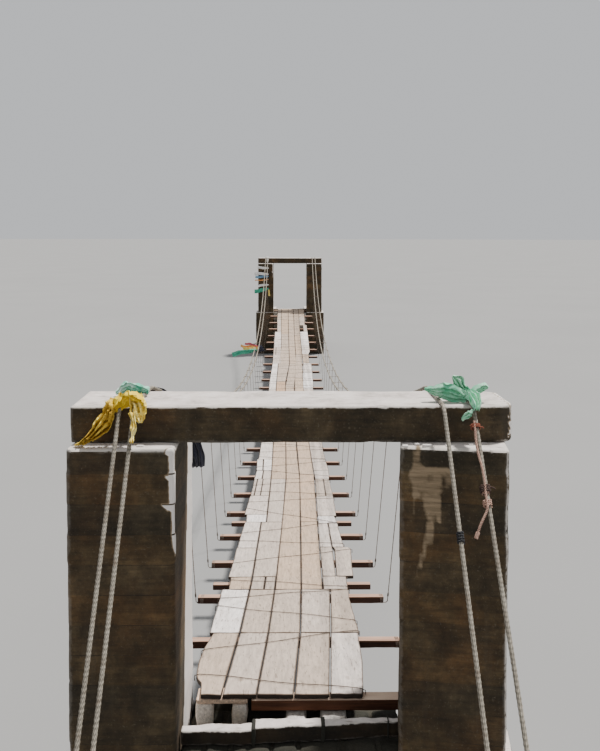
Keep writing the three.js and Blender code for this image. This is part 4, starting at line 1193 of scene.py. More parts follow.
span_angle = math.atan(2 * ROPE_SAG / ROPE_REACH)
span_edge, span_edge_height = over_lintel(ROPE_REACH, -1, SPAN_BEND, span_angle)


def span_height(y):
    bottom = LINTEL_TOP - ROPE_SAG
    return bottom + (span_edge_height - bottom) * (y / span_edge) ** 2


def rope_x(name, y):
    near_x, far_x = ropes[name][:2]
    part = np.clip(np.asarray(y) / ROPE_REACH, -1, 1)
    even = near_x + (far_x - near_x) * (part + 1) / 2
    return even - math.copysign(ROPE_PINCH, near_x) * (1 - part ** 2) + MIDDLE_X


def half_route(name):
    """Distance from mid-span and height, from mid-span to the anchor."""
    slope = math.radians(ropes[name][2])
    along = [(y, span_height(y)) for y in np.linspace(0, span_edge, 60)]
    along += [over_lintel(ROPE_REACH, -1, SPAN_BEND, angle) for angle in np.linspace(span_angle, 0, 8)[1:]]
    along += [over_lintel(LAND_START, 1, LAND_BEND, angle) for angle in np.linspace(0, slope, 12)]
    end_y, end_z = along[-1]
    socket = ANCHOR_TOP - SOCKET_DEPTH * math.sin(slope)
    along.append((end_y + (end_z - socket) / math.tan(slope), socket))
    return along


def rope_route(name):
    half = half_route(name)
    line = [(-y, z) for y, z in half[:0:-1]] + half
    return np.array([(float(rope_x(name, y)), y, z) for y, z in line])


for name in ropes:
    route = rope_route(name)
    make_piece(name + "_strands", [laid_rope(route, ROPE_DIAMETER, per_strand=3)], ROPE_STEEL,
               [name], sharp=60)
    steps = np.linalg.norm(np.diff(route, axis=0), axis=1)
    print("its length:", round(float(steps.sum()), 2), "m")

# %% [markdown]
# ## Hangers
# A hanger is one length of doubled wire. It is wound round the end of the bearer, goes up outside
# the deck, passes over both ropes and hooks down behind them, with a few tight turns to lock it.

# %% Routes of the hangers
HANGER_DIAMETER = 0.01
HANGER_OFFSET = 0.014  # how far outside the bearer's end it goes up
HANGER_FOOT = 0.855  # where it starts under the bearer, from the middle line
HOOK_LENGTH = 0.05
ROPE_PAIRS = {-1: ("left_outer_rope", "left_inner_rope"), 1: ("right_outer_rope", "right_inner_rope")}


def rounded(points, radius):
    """The same line with its corners cut to short arcs."""
    points = [np.array(p, float) for p in points]
    line = [points[0]]
    for before, corner, after in zip(points[:-2], points[1:-1], points[2:]):
        a = corner + (before - corner) * min(0.5, radius / np.linalg.norm(before - corner))
        b = corner + (after - corner) * min(0.5, radius / np.linalg.norm(after - corner))
        line += [a, (a + 2 * corner + b) / 4, b]
    return line + [points[-1]]


def hanger_route(side, y, slope):
    """From under the bearer up to the two ropes of that side."""
    outer, inner = ROPE_PAIRS[side]
    beside = ROPE_DIAMETER / 2 + HANGER_DIAMETER / 2 + 0.001
    over = float(span_height(y)) + ROPE_DIAMETER / 2 + HANGER_DIAMETER / 2 + 0.001
    middle = bearer_place(y, slope)
    under = middle.z - BEARER_SIZE[2] / 2 - HANGER_DIAMETER / 2
    foot_y = middle.y + math.sin(slope) * BEARER_SIZE[2] / 2
    out_x = MIDDLE_X + side * (BEARER_SIZE[0] / 2 + HANGER_OFFSET)
    top_out = float(rope_x(outer, y)) + side * beside
    top_in = float(rope_x(inner, y)) - side * beside
    return rounded([(MIDDLE_X + side * HANGER_FOOT, foot_y, under), (out_x, foot_y, under),
                    (top_out, foot_y, over), (top_in, foot_y, over),
                    (top_in, foot_y, over - HOOK_LENGTH)], 0.012)


def coil(middle, half_a, half_b, axis_a, axis_b, advance, turns, per_turn=8):
    """Turns of wire round something, a little further along with each turn."""
    angles = np.arange(turns * per_turn + 1) / per_turn * 2 * math.pi
    squareness = (np.cos(angles) ** 4 + np.sin(angles) ** 4) ** -0.25
    return [middle + axis_a * half_a * math.cos(t) * s + axis_b * half_b * math.sin(t) * s
            + advance * t / (2 * math.pi) for t, s in zip(angles, squareness)]

# %% [markdown]
# The ends of a hanger are coils: three turns round the bearer, and a lock of five small turns just
# below the ropes.

# %% Hangers
WINDING_X, WINDING_STEP, WINDING_DIAMETER = 0.862, 0.011, 0.006
WINDING_CLEARANCE = 0.004
LOCK_START, LOCK_RADIUS, LOCK_STEP, LOCK_DIAMETER = 0.05, 0.008, 0.006, 0.005
across_deck = np.array([1.0, 0, 0])
for number, (y, slope, node) in enumerate(bearers, 1):
    skins = []
    along_deck = np.array([0, math.cos(slope), math.sin(slope)])
    upright = np.array([0, -math.sin(slope), math.cos(slope)])
    for side in (-1, 1):
        hanger = hanger_route(side, y, slope)
        skins.append(laid_rope(hanger, HANGER_DIAMETER, 2, 0.07, 3, 3, 0.75))
        winding = coil(np.array(bearer_place(y, slope)) + np.array([side * WINDING_X, 0, 0]),
                       BEARER_SIZE[1] / 2 + WINDING_CLEARANCE, BEARER_SIZE[2] / 2 + WINDING_CLEARANCE,
                       along_deck, upright, np.array([side * WINDING_STEP, 0, 0]), 3)
        skins.append(laid_rope(winding, WINDING_DIAMETER, 3, 0.03, 1, 2, 0.9))
        top, foot = hanger[-8], hanger[4]
        direction = (foot - top) / np.linalg.norm(foot - top)
        lock = coil(top + direction * LOCK_START, LOCK_RADIUS, LOCK_RADIUS, across_deck,
                    np.array([0, 1.0, 0]), direction * LOCK_STEP, 5, 6)
        skins.append(laid_rope(lock, LOCK_DIAMETER, 3, 0.02, 2, 2, 0.9))
    make_piece(f"hanger_wires_{number:02d}", skins, HANGER_WIRE, [node], sharp=60)

# %% [markdown]
# ## Lashing wire on the deck
# One thin wire runs back and forth over the boards and holds them down. Each pair is where it meets
# the left and the right edge, in metres along the bridge. Further on, where it is too fine to see, the
# places are chance.

# %% Lashings
LASHING_DIAMETER = 0.007
LASHING_LIFT = 0.006  # the middle of the wire above the boards
EDGE_CLEARANCE = 0.004
LASHINGS = [(-14.52, -14.79), (-14.07, -13.63), (-13.0, -13.38), (-12.78, -12.5), (-12.2, -12.43),
            (-11.63, -11.1), (-10.72, -10.86), (-10.38, -9.84), (-9.1, -9.88), (-8.74, -8.49),
            (-8.02, -8.25), (-7.66, -7.33), (-6.56, -7.05), (-6.35, -5.88), (-5.51, -5.67), (-5.1, -4.85)]
crossings = list(LASHINGS)
while crossings[-1][0] < 13.8:
    middle = max(crossings[-1]) + chance.uniform(0.3, 0.5)
    lean = chance.uniform(0.1, 0.24) * (1 if len(crossings) % 2 else -1)
    crossings.append((middle - lean, middle + lean))


def crossing_route(left, right, sag_seed):
    """From the left edge to the right edge over the boards, with a small wander."""
    route = []
    ends = [float(seam_place(seam, y)) for seam, y in ((0, left), (5, right))]
    for part in np.linspace(0, 1, 22):
        x = ends[0] - EDGE_CLEARANCE + (ends[1] - ends[0] + 2 * EDGE_CLEARANCE) * part
        y = left + (right - left) * part + 0.014 * math.sin(part * 9 + sag_seed)
        y = min(max(y, -DECK_HALF + 0.01), DECK_HALF - 0.01)
        route.append((x + MIDDLE_X, y, float(deck_height(y)) + LASHING_LIFT))
    for end, push in ((0, -0.012), (-1, 0.012)):
        x, y, z = route[end]
        tail = [(x + push, y, z - 0.02), (x + push * 0.6, y, z - 0.05)]
        route = tail[::-1] + route if end == 0 else route + tail
    return route


LASHING_WIRE = wire_finish("dark_lashing_wire", (0.12, 0.085, 0.06), (0.07, 0.048, 0.034),
                           (0.1, 0.05, 0.03), 0.1, 0.75)
lashings = [laid_rope(crossing_route(left, right, i), LASHING_DIAMETER, 2, 0.12, 3, 2, 0.8)
            for i, (left, right) in enumerate(crossings)]
make_piece("deck_lashing_wires", lashings, LASHING_WIRE, sharp=60)

# %% [markdown]
# ## Cloth
# Scarves and flags are thin, so each is made as one sheet and not as a lump. Cloth hardly
# stretches: where it is drawn together it has to fold. The sheet is laid out along a route, and where
# its width is squeezed to a half, waves of just the right depth take up the rest. A cloth simulation
# would fold it too, but it wouldn't put each wing where the picture has it.

# %% A gathered strip
CLOTH_THICKNESS = 0.0012


def gathered_sheet(route, across, width, spread, folds, seed, rows, columns, flutter, taper, crumple):
    """Points of a strip along a route. spread is how much of its width shows at each route point."""
    route = np.array(route, float)
    across = np.broadcast_to(np.array(across, float), route.shape)
    stations = np.linspace(0, 1, len(route))
    u = np.linspace(0, 1, rows)

    def smooth(values):
        values = np.asarray(values, float)
        values = values.reshape(len(values), -1)
        fine = np.stack([np.interp(u, stations, values[:, i]) for i in range(values.shape[1])], 1)
        for _ in range(max(1, rows // len(route) // 2)):
            fine[1:-1] = (fine[:-2] + 2 * fine[1:-1] + fine[2:]) / 4
        return fine

    line, side = smooth(route), smooth(across)
    side /= np.linalg.norm(side, axis=1, keepdims=True)
    ahead = np.gradient(line, axis=0)
    ahead /= np.linalg.norm(ahead, axis=1, keepdims=True)
    side -= ahead * (side * ahead).sum(1, keepdims=True)
    side /= np.linalg.norm(side, axis=1, keepdims=True)
    lift = np.cross(ahead, side)
    share = smooth(np.reshape(spread, (-1, 1)))[:, 0]
    cut = width * (np.ones(rows) if taper is None else smooth(np.reshape(taper, (-1, 1)))[:, 0])
    v = np.linspace(-0.5, 0.5, columns)
    wave = cut * share / folds
    depth = wave / 4 * np.sqrt(np.maximum(1 / share ** 2 - 1, 0.0004))
    phase = 0.9 * np.sin(u * 7 + seed) + seed
    cloth_place = np.stack(np.broadcast_arrays(u[:, None] * len(route) * 0.05, v[None] * 0.12, 0.0), -1)
    drift = unevenness(cloth_place.reshape(-1, 3), 0.06, seed + 4, 2).reshape(rows, columns)
    turn = 2 * math.pi * folds * v[None] + phase[:, None] + 2.6 * drift
    fold = np.sin(turn) * depth[:, None] * (1 + 0.5 * drift)
    wobble = flutter * np.sin(u * 11 + seed * 1.7)[:, None] * (0.4 + np.abs(v[None]))
    points = (line[:, None] + side[:, None] * (v[None] * (cut * share)[:, None])[..., None]
              + lift[:, None] * (fold + wobble)[..., None])
    flat = points.reshape(-1, 3)
    creases = 0.5 - np.abs(unevenness(flat, 0.055, seed + 2, 2))
    creases += 0.45 * unevenness(flat, 0.021, seed + 3, 2)
    flat += lift.repeat(columns, 0) * (unevenness(flat, 0.05, seed, 3) * 0.006 + creases * crumple)[:, None]
    return points

# %% [markdown]
# The sheet gets a back and a rim.


def make_sheet(name, points, finish, replaces):
    """A closed thin sheet from a grid of points."""
    rows, columns = points.shape[:2]
    down = np.gradient(points, axis=0)
    over = np.gradient(points, axis=1)
    normal = np.cross(down, over)
    normal /= np.maximum(np.linalg.norm(normal, axis=2, keepdims=True), 1e-9)
    both = np.concatenate([(points + normal * CLOTH_THICKNESS / 2).reshape(-1, 3),
                           (points - normal * CLOTH_THICKNESS / 2).reshape(-1, 3)])
    back = rows * columns
    index = np.arange(back).reshape(rows, columns)
    faces = []
    for r in range(rows - 1):
        for c in range(columns - 1):
            quad = [index[r, c], index[r + 1, c], index[r + 1, c + 1], index[r, c + 1]]
            faces.append([int(q) for q in quad])
            faces.append([int(q) + back for q in quad[::-1]])
    rim = [*index[:, 0], *index[-1, 1:], *index[-2::-1, -1], *index[0, -2:0:-1]]
    for a, b in zip(rim, rim[1:] + rim[:1]):
        faces.append([int(b), int(a), int(a) + back, int(b) + back])
    wear = np.zeros((rows, columns))
    wear[[0, -1]] = 1
    wear[:, [0, -1]] = 1
    skin = Skin(both, faces, wear=np.tile(wear.ravel(), 2))
    cloth = make_piece(name, [skin], finish, replaces, sharp=75)
    return cloth


def hang_cloth(name, finish, node, *, route, across, width, spread, folds, seed, grid,
               flutter, taper=None, crumple=0.0):
    """One gathered strip of cloth as a piece. grid is its number of points along and across."""
    points = gathered_sheet(route, across, width, spread, folds, seed, *grid, flutter, taper, crumple)
    return make_sheet(name, points, finish, [node])


def from_middle(points):
    """Route points whose x is given from the middle of the portal."""
    return [(x + MIDDLE_X, y, z) for x, y, z in points]

# %% [markdown]
# Cheap cloth fades in patches, so each finish has two shades of one colour. The yellow scarf has three
# finishes: the bunch and the streaming tail differ in their yellows, and the third, on the bright and
# the thin tail, is lightened as painted sunlight.

# %% Cloth finishes
def cloth_finish(name, colour, second, share=0.5, sheen=0.3):
    """Thin faded cloth: two shades in soft patches over a fine weave."""
    make = Finish(name, 0.85)
    make.shader.inputs["Sheen Weight"].default_value = sheen
    patches = make.noise(make.place, 9.0, 5.0, 0.6)
    blend = make.ramp(patches, [(share - 0.12, 0.0), (share + 0.12, 1.0)])
    tint = make.mix(blend, colour, second)
    hem = make.times(make.painted("wear"), 0.35)
    tint = make.mix(hem, tint, tuple(c * 0.6 for c in second))
    weave = [make.node("ShaderNodeTexWave", {"Vector": make.place, "Scale": 190.0, "Distortion": 1.0},
                       bands_direction=axis).outputs["Fac"] for axis in ("X", "Z")]
    return make.done(tint, make.mix(0.5, *weave), 0.0006)


YELLOW = cloth_finish("yellow_scarf_cloth", (0.5, 0.3, 0.02), (0.95, 0.72, 0.12), 0.5, 0.0)
BUNCHED_YELLOW = cloth_finish("bunched_yellow_cloth", (0.72, 0.43, 0.0), (1.0, 0.78, 0.06), 0.48, 0.0)
SUNLIT_YELLOW = cloth_finish("sunlit_yellow_cloth", (1.0, 0.74, 0.08), (1.0, 0.88, 0.36), 0.5, 0.0)
GREEN = cloth_finish("green_rag_cloth", (0.1, 0.55, 0.36), (0.7, 0.92, 0.82), 0.54, 0.1)
MINT = cloth_finish("mint_scarf_cloth", (0.16, 0.6, 0.36), (0.5, 0.84, 0.62), 0.52, 0.1)
NAVY = cloth_finish("navy_cloth", (0.012, 0.014, 0.035), (0.03, 0.035, 0.07))

# %% [markdown]
# ## The scarves on the near lintel
# The yellow scarf lies bunched over both left ropes where they cross the front edge, and below the
# bunch it is torn into three tails: one streams down to the left, a bright one hangs over the edge,
# and a thin one follows the inner rope.

# %% Yellow scarf and green rag
hang_cloth(
    "yellow_scarf_bunch", BUNCHED_YELLOW, "near_left_scarf",
    route=from_middle([
        (-1.14, -15.29, 4.192), (-1.118, -15.29, 4.22), (-1.088, -15.285, 4.242), (-1.05, -15.28, 4.252),
        (-1.01, -15.28, 4.256), (-0.972, -15.282, 4.25), (-0.942, -15.29, 4.23), (-0.926, -15.295, 4.2)]),
    across=[(-0.75, -0.3, 0.6), (-0.6, -0.4, 0.7), (-0.35, -0.45, 0.8), (-0.1, -0.45, 0.9),
            (0.05, -0.45, 0.9), (0.3, -0.4, 0.85), (0.6, -0.35, 0.7), (0.85, -0.3, 0.5)],
    width=0.3, spread=[0.17, 0.22, 0.3, 0.36, 0.36, 0.32, 0.26, 0.2], folds=4, seed=7, grid=(80, 44),
    flutter=0.008, taper=[0.7, 1, 1, 1, 1, 1, 1, 0.8], crumple=0.05)
hang_cloth(
    "yellow_scarf_streaming_tail", YELLOW, "near_left_scarf",
    route=from_middle([
        (-1.095, -15.262, 4.238), (-1.112, -15.285, 4.212), (-1.128, -15.3, 4.186),
        (-1.15, -15.32, 4.15), (-1.18, -15.325, 4.106), (-1.218, -15.322, 4.064),
        (-1.262, -15.315, 4.024), (-1.31, -15.308, 3.994), (-1.352, -15.302, 3.98)]),
    across=[(0.85, -0.1, 0.45), (0.85, -0.1, 0.35), (0.85, -0.1, 0.1), (0.8, -0.1, -0.35), (0.75, 0, -0.6),
            (0.7, 0, -0.7), (0.65, 0, -0.75), (0.5, 0, -0.85), (0.4, 0, -0.9)],
    width=0.26, spread=[0.22, 0.2, 0.21, 0.36, 0.42, 0.32, 0.22, 0.14, 0.07], folds=3, seed=3,
    grid=(90, 44), flutter=0.012, taper=[0.8, 1, 1, 1, 1, 0.95, 0.85, 0.7, 0.4], crumple=0.075)
hang_cloth(
    "yellow_scarf_bright_tail", SUNLIT_YELLOW, "near_left_scarf",
    route=from_middle([
        (-0.985, -15.262, 4.256), (-0.974, -15.285, 4.24), (-0.962, -15.305, 4.208),
        (-0.956, -15.32, 4.176), (-0.948, -15.335, 4.146), (-0.943, -15.345, 4.116)]),
    across=(1, 0, 0), width=0.22, spread=[0.34, 0.42, 0.48, 0.46, 0.38, 0.17], folds=3, seed=5,
    grid=(64, 40), flutter=0.007, taper=[0.9, 1, 1, 1, 0.9, 0.5], crumple=0.055)
hang_cloth(
    "yellow_scarf_thin_tail", SUNLIT_YELLOW, "near_left_scarf",
    route=from_middle([
        (-0.992, -15.37, 4.19), (-0.978, -15.39, 4.143), (-0.972, -15.415, 4.1), (-0.976, -15.44, 4.06),
        (-0.973, -15.465, 4.025)]),
    across=(1, 0, 0), width=0.12, spread=[0.4, 0.3, 0.36, 0.24, 0.3], folds=2, seed=9, grid=(40, 20),
    flutter=0.005, taper=[1, 0.6, 1, 0.5, 0.8], crumple=0.02)
hang_cloth(
    "green_rag", GREEN, "near_left_rag",
    route=from_middle([
        (-1.187, -14.93, 4.232), (-1.146, -14.93, 4.248), (-1.1, -14.93, 4.262), (-1.053, -14.93, 4.256),
        (-1.013, -14.93, 4.248), (-0.965, -14.93, 4.238)]),
    across=(0, -0.5, 0.86), width=0.3, spread=[0.14, 0.25, 0.3, 0.28, 0.27, 0.18], folds=4, seed=8,
    grid=(56, 40), flutter=0.006, taper=[0.6, 1, 1, 1, 1, 0.7], crumple=0.026)

# %% [markdown]
# The mint scarf is tied round the right outer rope. A broad pointed wing lies across to the inner
# rope and a short one points to the right; both are one strip. A second strip stands up as a leaf,
# runs through the knot and drops over the front edge. A small torn tuft hangs beside it.

# %% Mint scarf and dark cloth
hang_cloth(
    "mint_scarf_wings", MINT, "near_right_scarf",
    route=from_middle([
        (0.858, -15.11, 4.29), (0.92, -15.12, 4.274), (0.98, -15.13, 4.268), (1.04, -15.14, 4.26),
        (1.1, -15.15, 4.25), (1.145, -15.155, 4.258), (1.18, -15.15, 4.282), (1.212, -15.14, 4.296),
        (1.24, -15.13, 4.302), (1.265, -15.12, 4.299)]),
    across=[(0, -0.45, 0.9), (0, -0.45, 0.9), (0, -0.45, 0.9), (0, -0.5, 0.9), (0, -0.5, 0.8),
            (0.2, -0.4, 0.8), (0.2, -0.4, 0.8), (0.1, -0.4, 0.9), (0.1, -0.4, 0.9), (0.1, -0.4, 0.9)],
    width=0.32, spread=[0.14, 0.34, 0.46, 0.42, 0.24, 0.14, 0.18, 0.2, 0.2, 0.12], folds=4, seed=5,
    grid=(84, 40), flutter=0.006, taper=[0.4, 0.7, 0.9, 1, 1, 1, 1, 1, 0.9, 0.6], crumple=0.016)
hang_cloth(
    "mint_scarf_leaf", MINT, "near_right_scarf",
    route=from_middle([
        (1.035, -15.13, 4.372), (1.068, -15.13, 4.345), (1.09, -15.135, 4.306), (1.108, -15.145, 4.28),
        (1.13, -15.18, 4.266), (1.146, -15.24, 4.262), (1.147, -15.31, 4.232), (1.142, -15.355, 4.198)]),
    across=[(0.85, 0, 0.5), (0.85, 0, 0.5), (0.85, 0, 0.45), (0.9, 0, 0.3), (1, 0, 0.1), (1, 0, 0),
            (1, 0, 0), (1, 0, 0)],
    width=0.22, spread=[0.14, 0.4, 0.26, 0.28, 0.24, 0.38, 0.34, 0.2], folds=3, seed=6, grid=(66, 32),
    flutter=0.005, taper=[0.4, 1, 1, 1, 1, 1, 1, 0.7], crumple=0.016)
hang_cloth(
    "mint_scarf_tuft", MINT, "near_right_scarf",
    route=from_middle([
        (1.12, -15.35, 4.196), (1.1, -15.355, 4.178), (1.075, -15.35, 4.158), (1.05, -15.34, 4.134)]),
    across=(0.6, 0, 0.8), width=0.12, spread=[0.2, 0.32, 0.36, 0.2], folds=2, seed=12, grid=(30, 18),
    flutter=0.004, taper=[0.6, 1, 1, 0.5], crumple=0.014)
hang_cloth(
    "navy_cloth", NAVY, "near_left_cloth",
    route=from_middle([
        (-1.09, -14.31, 4.088), (-1.02, -14.308, 4.118), (-0.97, -14.306, 4.09), (-0.9, -14.306, 3.99),
        (-0.82, -14.306, 3.86), (-0.75, -14.306, 3.73), (-0.715, -14.306, 3.62), (-0.71, -14.306, 3.53)]),
    across=[(0.3, 0.1, 0.6), (0.3, 0.1, 0.9), (0.6, 0.1, 0.6), (0.8, 0, 0.5), (0.9, 0, 0.4),
            (1, 0, 0.3), (1, 0, 0), (1, 0, 0)],
    width=0.22, spread=[0.2, 0.25, 0.3, 0.4, 0.45, 0.5, 0.5, 0.42], folds=3, seed=4, grid=(60, 30),
    flutter=0.008)

# %% [markdown]
# ## Flags
# At the far portal small flags stream to the left from a line that hangs beside the pier, and more
# are tied to the left ropes near the middle of the bridge. Each flag is one plain faded colour. A
# flutter along the strip shows the wind.

# %% One flag
FLAG_SPREAD = [0.35, 0.55, 0.7, 0.75, 0.8, 0.8, 0.82, 0.85, 0.85]


def flag(name, start, end, width, finish, node, seed, drop=(0, 0, -1), flutter=0.02):
    """One streaming flag between two points."""
    start, end = np.array(start), np.array(end)
    reach = np.linspace(0, 1, len(FLAG_SPREAD))
    route = start + (end - start) * reach[:, None]
    route[:, 1] += np.sin(reach * 9 + seed) * 0.025 * reach
    route[:, 2] += np.sin(reach * 7 + seed * 2) * 0.018 * reach
    return hang_cloth(name, finish, node, route=route, across=drop,
                      width=width, spread=FLAG_SPREAD, folds=2, seed=seed, grid=(34, 14),
                      flutter=flutter)


flag_white = cloth_finish("white_flag_cloth", (0.75, 0.75, 0.74), (0.88, 0.88, 0.86))
flag_blue = cloth_finish("blue_flag_cloth", (0.08, 0.2, 0.38), (0.3, 0.5, 0.6))
flag_orange = cloth_finish("orange_flag_cloth", (0.75, 0.25, 0.05), (0.85, 0.5, 0.2))
flag_teal = cloth_finish("teal_flag_cloth", (0.02, 0.32, 0.2), (0.1, 0.5, 0.34))
flag_yellow = cloth_finish("yellow_flag_cloth", (0.8, 0.55, 0.06), (0.9, 0.75, 0.3))
flag_red = cloth_finish("red_flag_cloth", (0.5, 0.03, 0.06), (0.6, 0.12, 0.2))

# %% [markdown]
# A yellow flag has come loose from the line and hangs straight down.

# %% Flags at the far portal
LINE_X, LINE_Y = MIDDLE_X - 0.985, 14.44
far_flags = [
    (3.76, -1.49, 3.79, 0.13, flag_white), (3.5, -1.62, 3.53, 0.15, flag_white),
    (3.4, -1.58, 3.38, 0.13, flag_blue), (3.26, -1.6, 3.22, 0.06, flag_orange),
    (3.04, -1.46, 2.99, 0.12, flag_white), (2.86, -1.62, 2.74, 0.2, flag_teal),
]
for number, (z, end_x, end_z, width, finish) in enumerate(far_flags, 1):
    flag(f"far_flag_{number}", (LINE_X, LINE_Y, z), (end_x, LINE_Y - 0.03, end_z), width, finish,
         "far_left_flags", number)
flag("far_flag_tail", (LINE_X, LINE_Y, 2.83), (LINE_X + 0.03, LINE_Y, 2.55), 0.09, flag_yellow,
     "far_left_flags", 9, (1, 0, 0), 0.006)
far_line = laid_rope([(LINE_X, LINE_Y, z) for z in np.linspace(4.14, 2.66, 30)], 0.008, 3, 0.05, 3, 2)
make_piece("far_flag_line", [far_line], HANGER_WIRE, ["far_left_flags"], sharp=60)

# %% [markdown]
# The dark flag near mid-span hangs down.

# %% Flags near mid-span
mid_flags = [
    ((-0.94, 1.72, 2.15), (-1.3, 1.66, 2.25), 0.07, flag_red),
    ((-0.94, 1.68, 2.13), (-1.42, 1.66, 2.16), 0.09, flag_orange),
    ((-0.94, 1.62, 2.11), (-1.34, 1.55, 2.08), 0.1, flag_yellow),
    ((-0.96, 1.3, 2.1), (-1.62, 1.25, 2.00), 0.16, flag_teal),
    ((-0.99, 1.4, 2.1), (-1.58, 1.42, 1.97), 0.1, flag_teal),
    ((-0.87, 1.86, 2.15), (-0.83, 1.86, 1.98), 0.16, NAVY),
]
for number, (start, end, width, finish) in enumerate(mid_flags, 1):
    drop = (1, 0, 0) if finish is NAVY else (0, 0.3, -1)
    flag(f"mid_flag_{number}", start, end, width, finish, "left_rope_flags", number + 20, drop)

# %% [markdown]
# A white rag hangs down the river face of the far lintel where the left inner rope crosses it.

# %% Far rag
WHITE_RAG = cloth_finish("white_rag_cloth", (0.7, 0.7, 0.68), (0.85, 0.85, 0.82))
hang_cloth(
    "far_rag", WHITE_RAG, "far_left_rag",
    route=from_middle([
        (-1.045, 14.86, 4.222), (-1.045, 14.8, 4.25), (-1.045, 14.745, 4.225), (-1.045, 14.728, 4.14),
        (-1.05, 14.73, 4.0)]),
    across=(1, 0, 0), width=0.2, spread=[0.5, 0.55, 0.5, 0.45, 0.35], folds=3, seed=2, grid=(40, 24),
    flutter=0.004)

# %% [markdown]
# ## The lashed rope and the tape
# A thinner, pinkish rope runs down beside the right outer backstay, is tied to it in three places
# and ends in a loose tail. Dark tape is wrapped round the right inner backstay.

# %% Places on a backstay
def backstay_point(name, distance, toward=-1):
    """A point on the straight part below the lintel, that far from the bend, and its direction."""
    slope = math.radians(ropes[name][2])
    start_y, start_z = over_lintel(LAND_START, 1, LAND_BEND, slope)
    direction = np.array([0, toward * math.cos(slope), -math.sin(slope)])
    start = np.array([float(rope_x(name, toward * start_y)), toward * start_y, start_z])
    return start + direction * distance, direction


def fibre_finish(name, light, dark):
    make = Finish(name, 0.9)
    fibres = make.noise(make.place, 90.0, 6.0, 0.7)
    colour = make.mix(make.ramp(fibres, [(0.35, 0.0), (0.65, 1.0)]), dark, light)
    valleys = make.ramp(make.painted("wear"), [(0.0, 0.7), (0.7, 0.0)])
    colour = make.mix(valleys, colour, tuple(c * 0.3 for c in dark))
    return make.done(colour, fibres, 0.002)


PINK_FIBRE = fibre_finish("pink_tie_rope", (0.55, 0.36, 0.28), (0.36, 0.2, 0.15))
BROWN_FIBRE = fibre_finish("red_brown_tie", (0.34, 0.1, 0.05), (0.2, 0.05, 0.03))
DARK_FIBRE = fibre_finish("dark_tie", (0.1, 0.05, 0.035), (0.03, 0.018, 0.014))
TAPE = fibre_finish("black_tape", (0.03, 0.03, 0.035), (0.015, 0.015, 0.018))

# %% [markdown]
# The thin rope lies beside the backstay and swings round it a little. Its tail ends in a frayed tuft.

# %% Pink rope
OUTER = "right_outer_rope"
TIE_DIAMETER = 0.016
BESIDE = (ROPE_DIAMETER + TIE_DIAMETER) / 2 + 0.001
KNOT_AT = 0.6
TAIL_REACH = 0.74
TURN_PLACES, TURN_VALUES = [0.3, 0.45, 0.6], [0.45, 0.9, 0.5]


def beside_backstay(distance, turn):
    """Where the thin rope lies: turn 0 is at the left of the backstay, 1 on top of it."""
    point, direction = backstay_point(OUTER, distance)
    top = np.cross(direction, (-1.0, 0, 0))
    top *= np.sign(top[2])
    angle = turn * math.pi / 2
    return point + (np.array([-1.0, 0, 0]) * math.cos(angle) + top * math.sin(angle)) * BESIDE


strand_route = []
for distance in np.linspace(0.05, KNOT_AT, 36):
    turn = float(np.interp(distance, TURN_PLACES, TURN_VALUES)) + 0.12 * math.sin(distance * 23)
    strand_route.append(beside_backstay(distance, turn))
tail_start = beside_backstay(KNOT_AT + 0.02, 0.3)
tail_end = backstay_point(OUTER, TAIL_REACH)[0] + np.array([-0.085, 0.012, -0.005])
tail_bend = (tail_start + tail_end) / 2 + np.array([-0.014, -0.012, -0.012])
strand_route += [tail_start, tail_bend, tail_end]
strand = laid_rope(rounded(strand_route, 0.02), TIE_DIAMETER, 3, 0.05, 5, 4, 0.78)
ahead = (tail_end - tail_bend) / np.linalg.norm(tail_end - tail_bend)
frayed = worn_block((0.024, 0.012, 0.04), 0.006, 0.004, (0.006, 0.004, 0.006), 0.003, 0.002, 17, 0.9, 0.01)
to_tail = Vector(ahead).to_track_quat("Z", "Y").to_matrix().to_4x4()
frayed = frayed.moved(Matrix.Translation(tail_end + ahead * 0.012) @ to_tail)
make_piece("pink_tie_strand", [strand, frayed], PINK_FIBRE, ["right_tie_rope"], sharp=60)

# %% [markdown]
# A tie is a tight coil of cord with two loose ends that stick out. The tape is a coil too.

# %% Ties and tape
def binding(name, distance, turns, thickness, half, offset=-0.007):
    """Turns of cord or tape wound tightly round a backstay and what lies along it."""
    point, direction = backstay_point(name, distance)
    across = np.array([1.0, 0, 0])
    other = np.cross(direction, across)
    step = direction * thickness * 0.95
    route = coil(point + across * offset, half, half * 0.8, across, other, step, turns, 10)
    return laid_rope(route, thickness, 3, 0.04, 4, 2, 0.85)


def loose_end(name, distance, reach, thickness, side=1):
    """A short end of cord that sticks out of a binding."""
    point = backstay_point(name, distance)[0]
    start = point + np.array([side * 0.02, -0.01, 0.004])
    tip = start + np.array([side * reach, -0.004, -reach * 0.25])
    bend = (start + tip) / 2 + np.array([0, -0.004, 0.006])
    return laid_rope([start, bend, tip], thickness, 3, 0.03, 4, 3, 0.8)


brown_tie = [binding(OUTER, 0.068, 3, 0.009, 0.027), loose_end(OUTER, 0.085, 0.02, 0.009),
             loose_end(OUTER, 0.07, 0.022, 0.009, -1)]
dark_tie = [binding(OUTER, 0.46, 4, 0.011, 0.028), loose_end(OUTER, 0.47, 0.03, 0.01),
            loose_end(OUTER, 0.465, 0.018, 0.01, -1)]
knot = [binding(OUTER, 0.55, 3, 0.013, 0.022), binding(OUTER, 0.5, 2, 0.008, 0.02)]
tape = [binding("right_inner_rope", 0.728, 4, 0.016, 0.016, 0.0)]
make_piece("red_brown_tie", brown_tie, BROWN_FIBRE, ["right_tie_rope"], sharp=60)
make_piece("dark_tie", dark_tie, DARK_FIBRE, ["right_tie_rope"], sharp=60)
make_piece("pale_knot", knot, PINK_FIBRE, ["right_tie_rope"], sharp=60)
make_piece("black_tape_wrap", tape, TAPE, sharp=60)

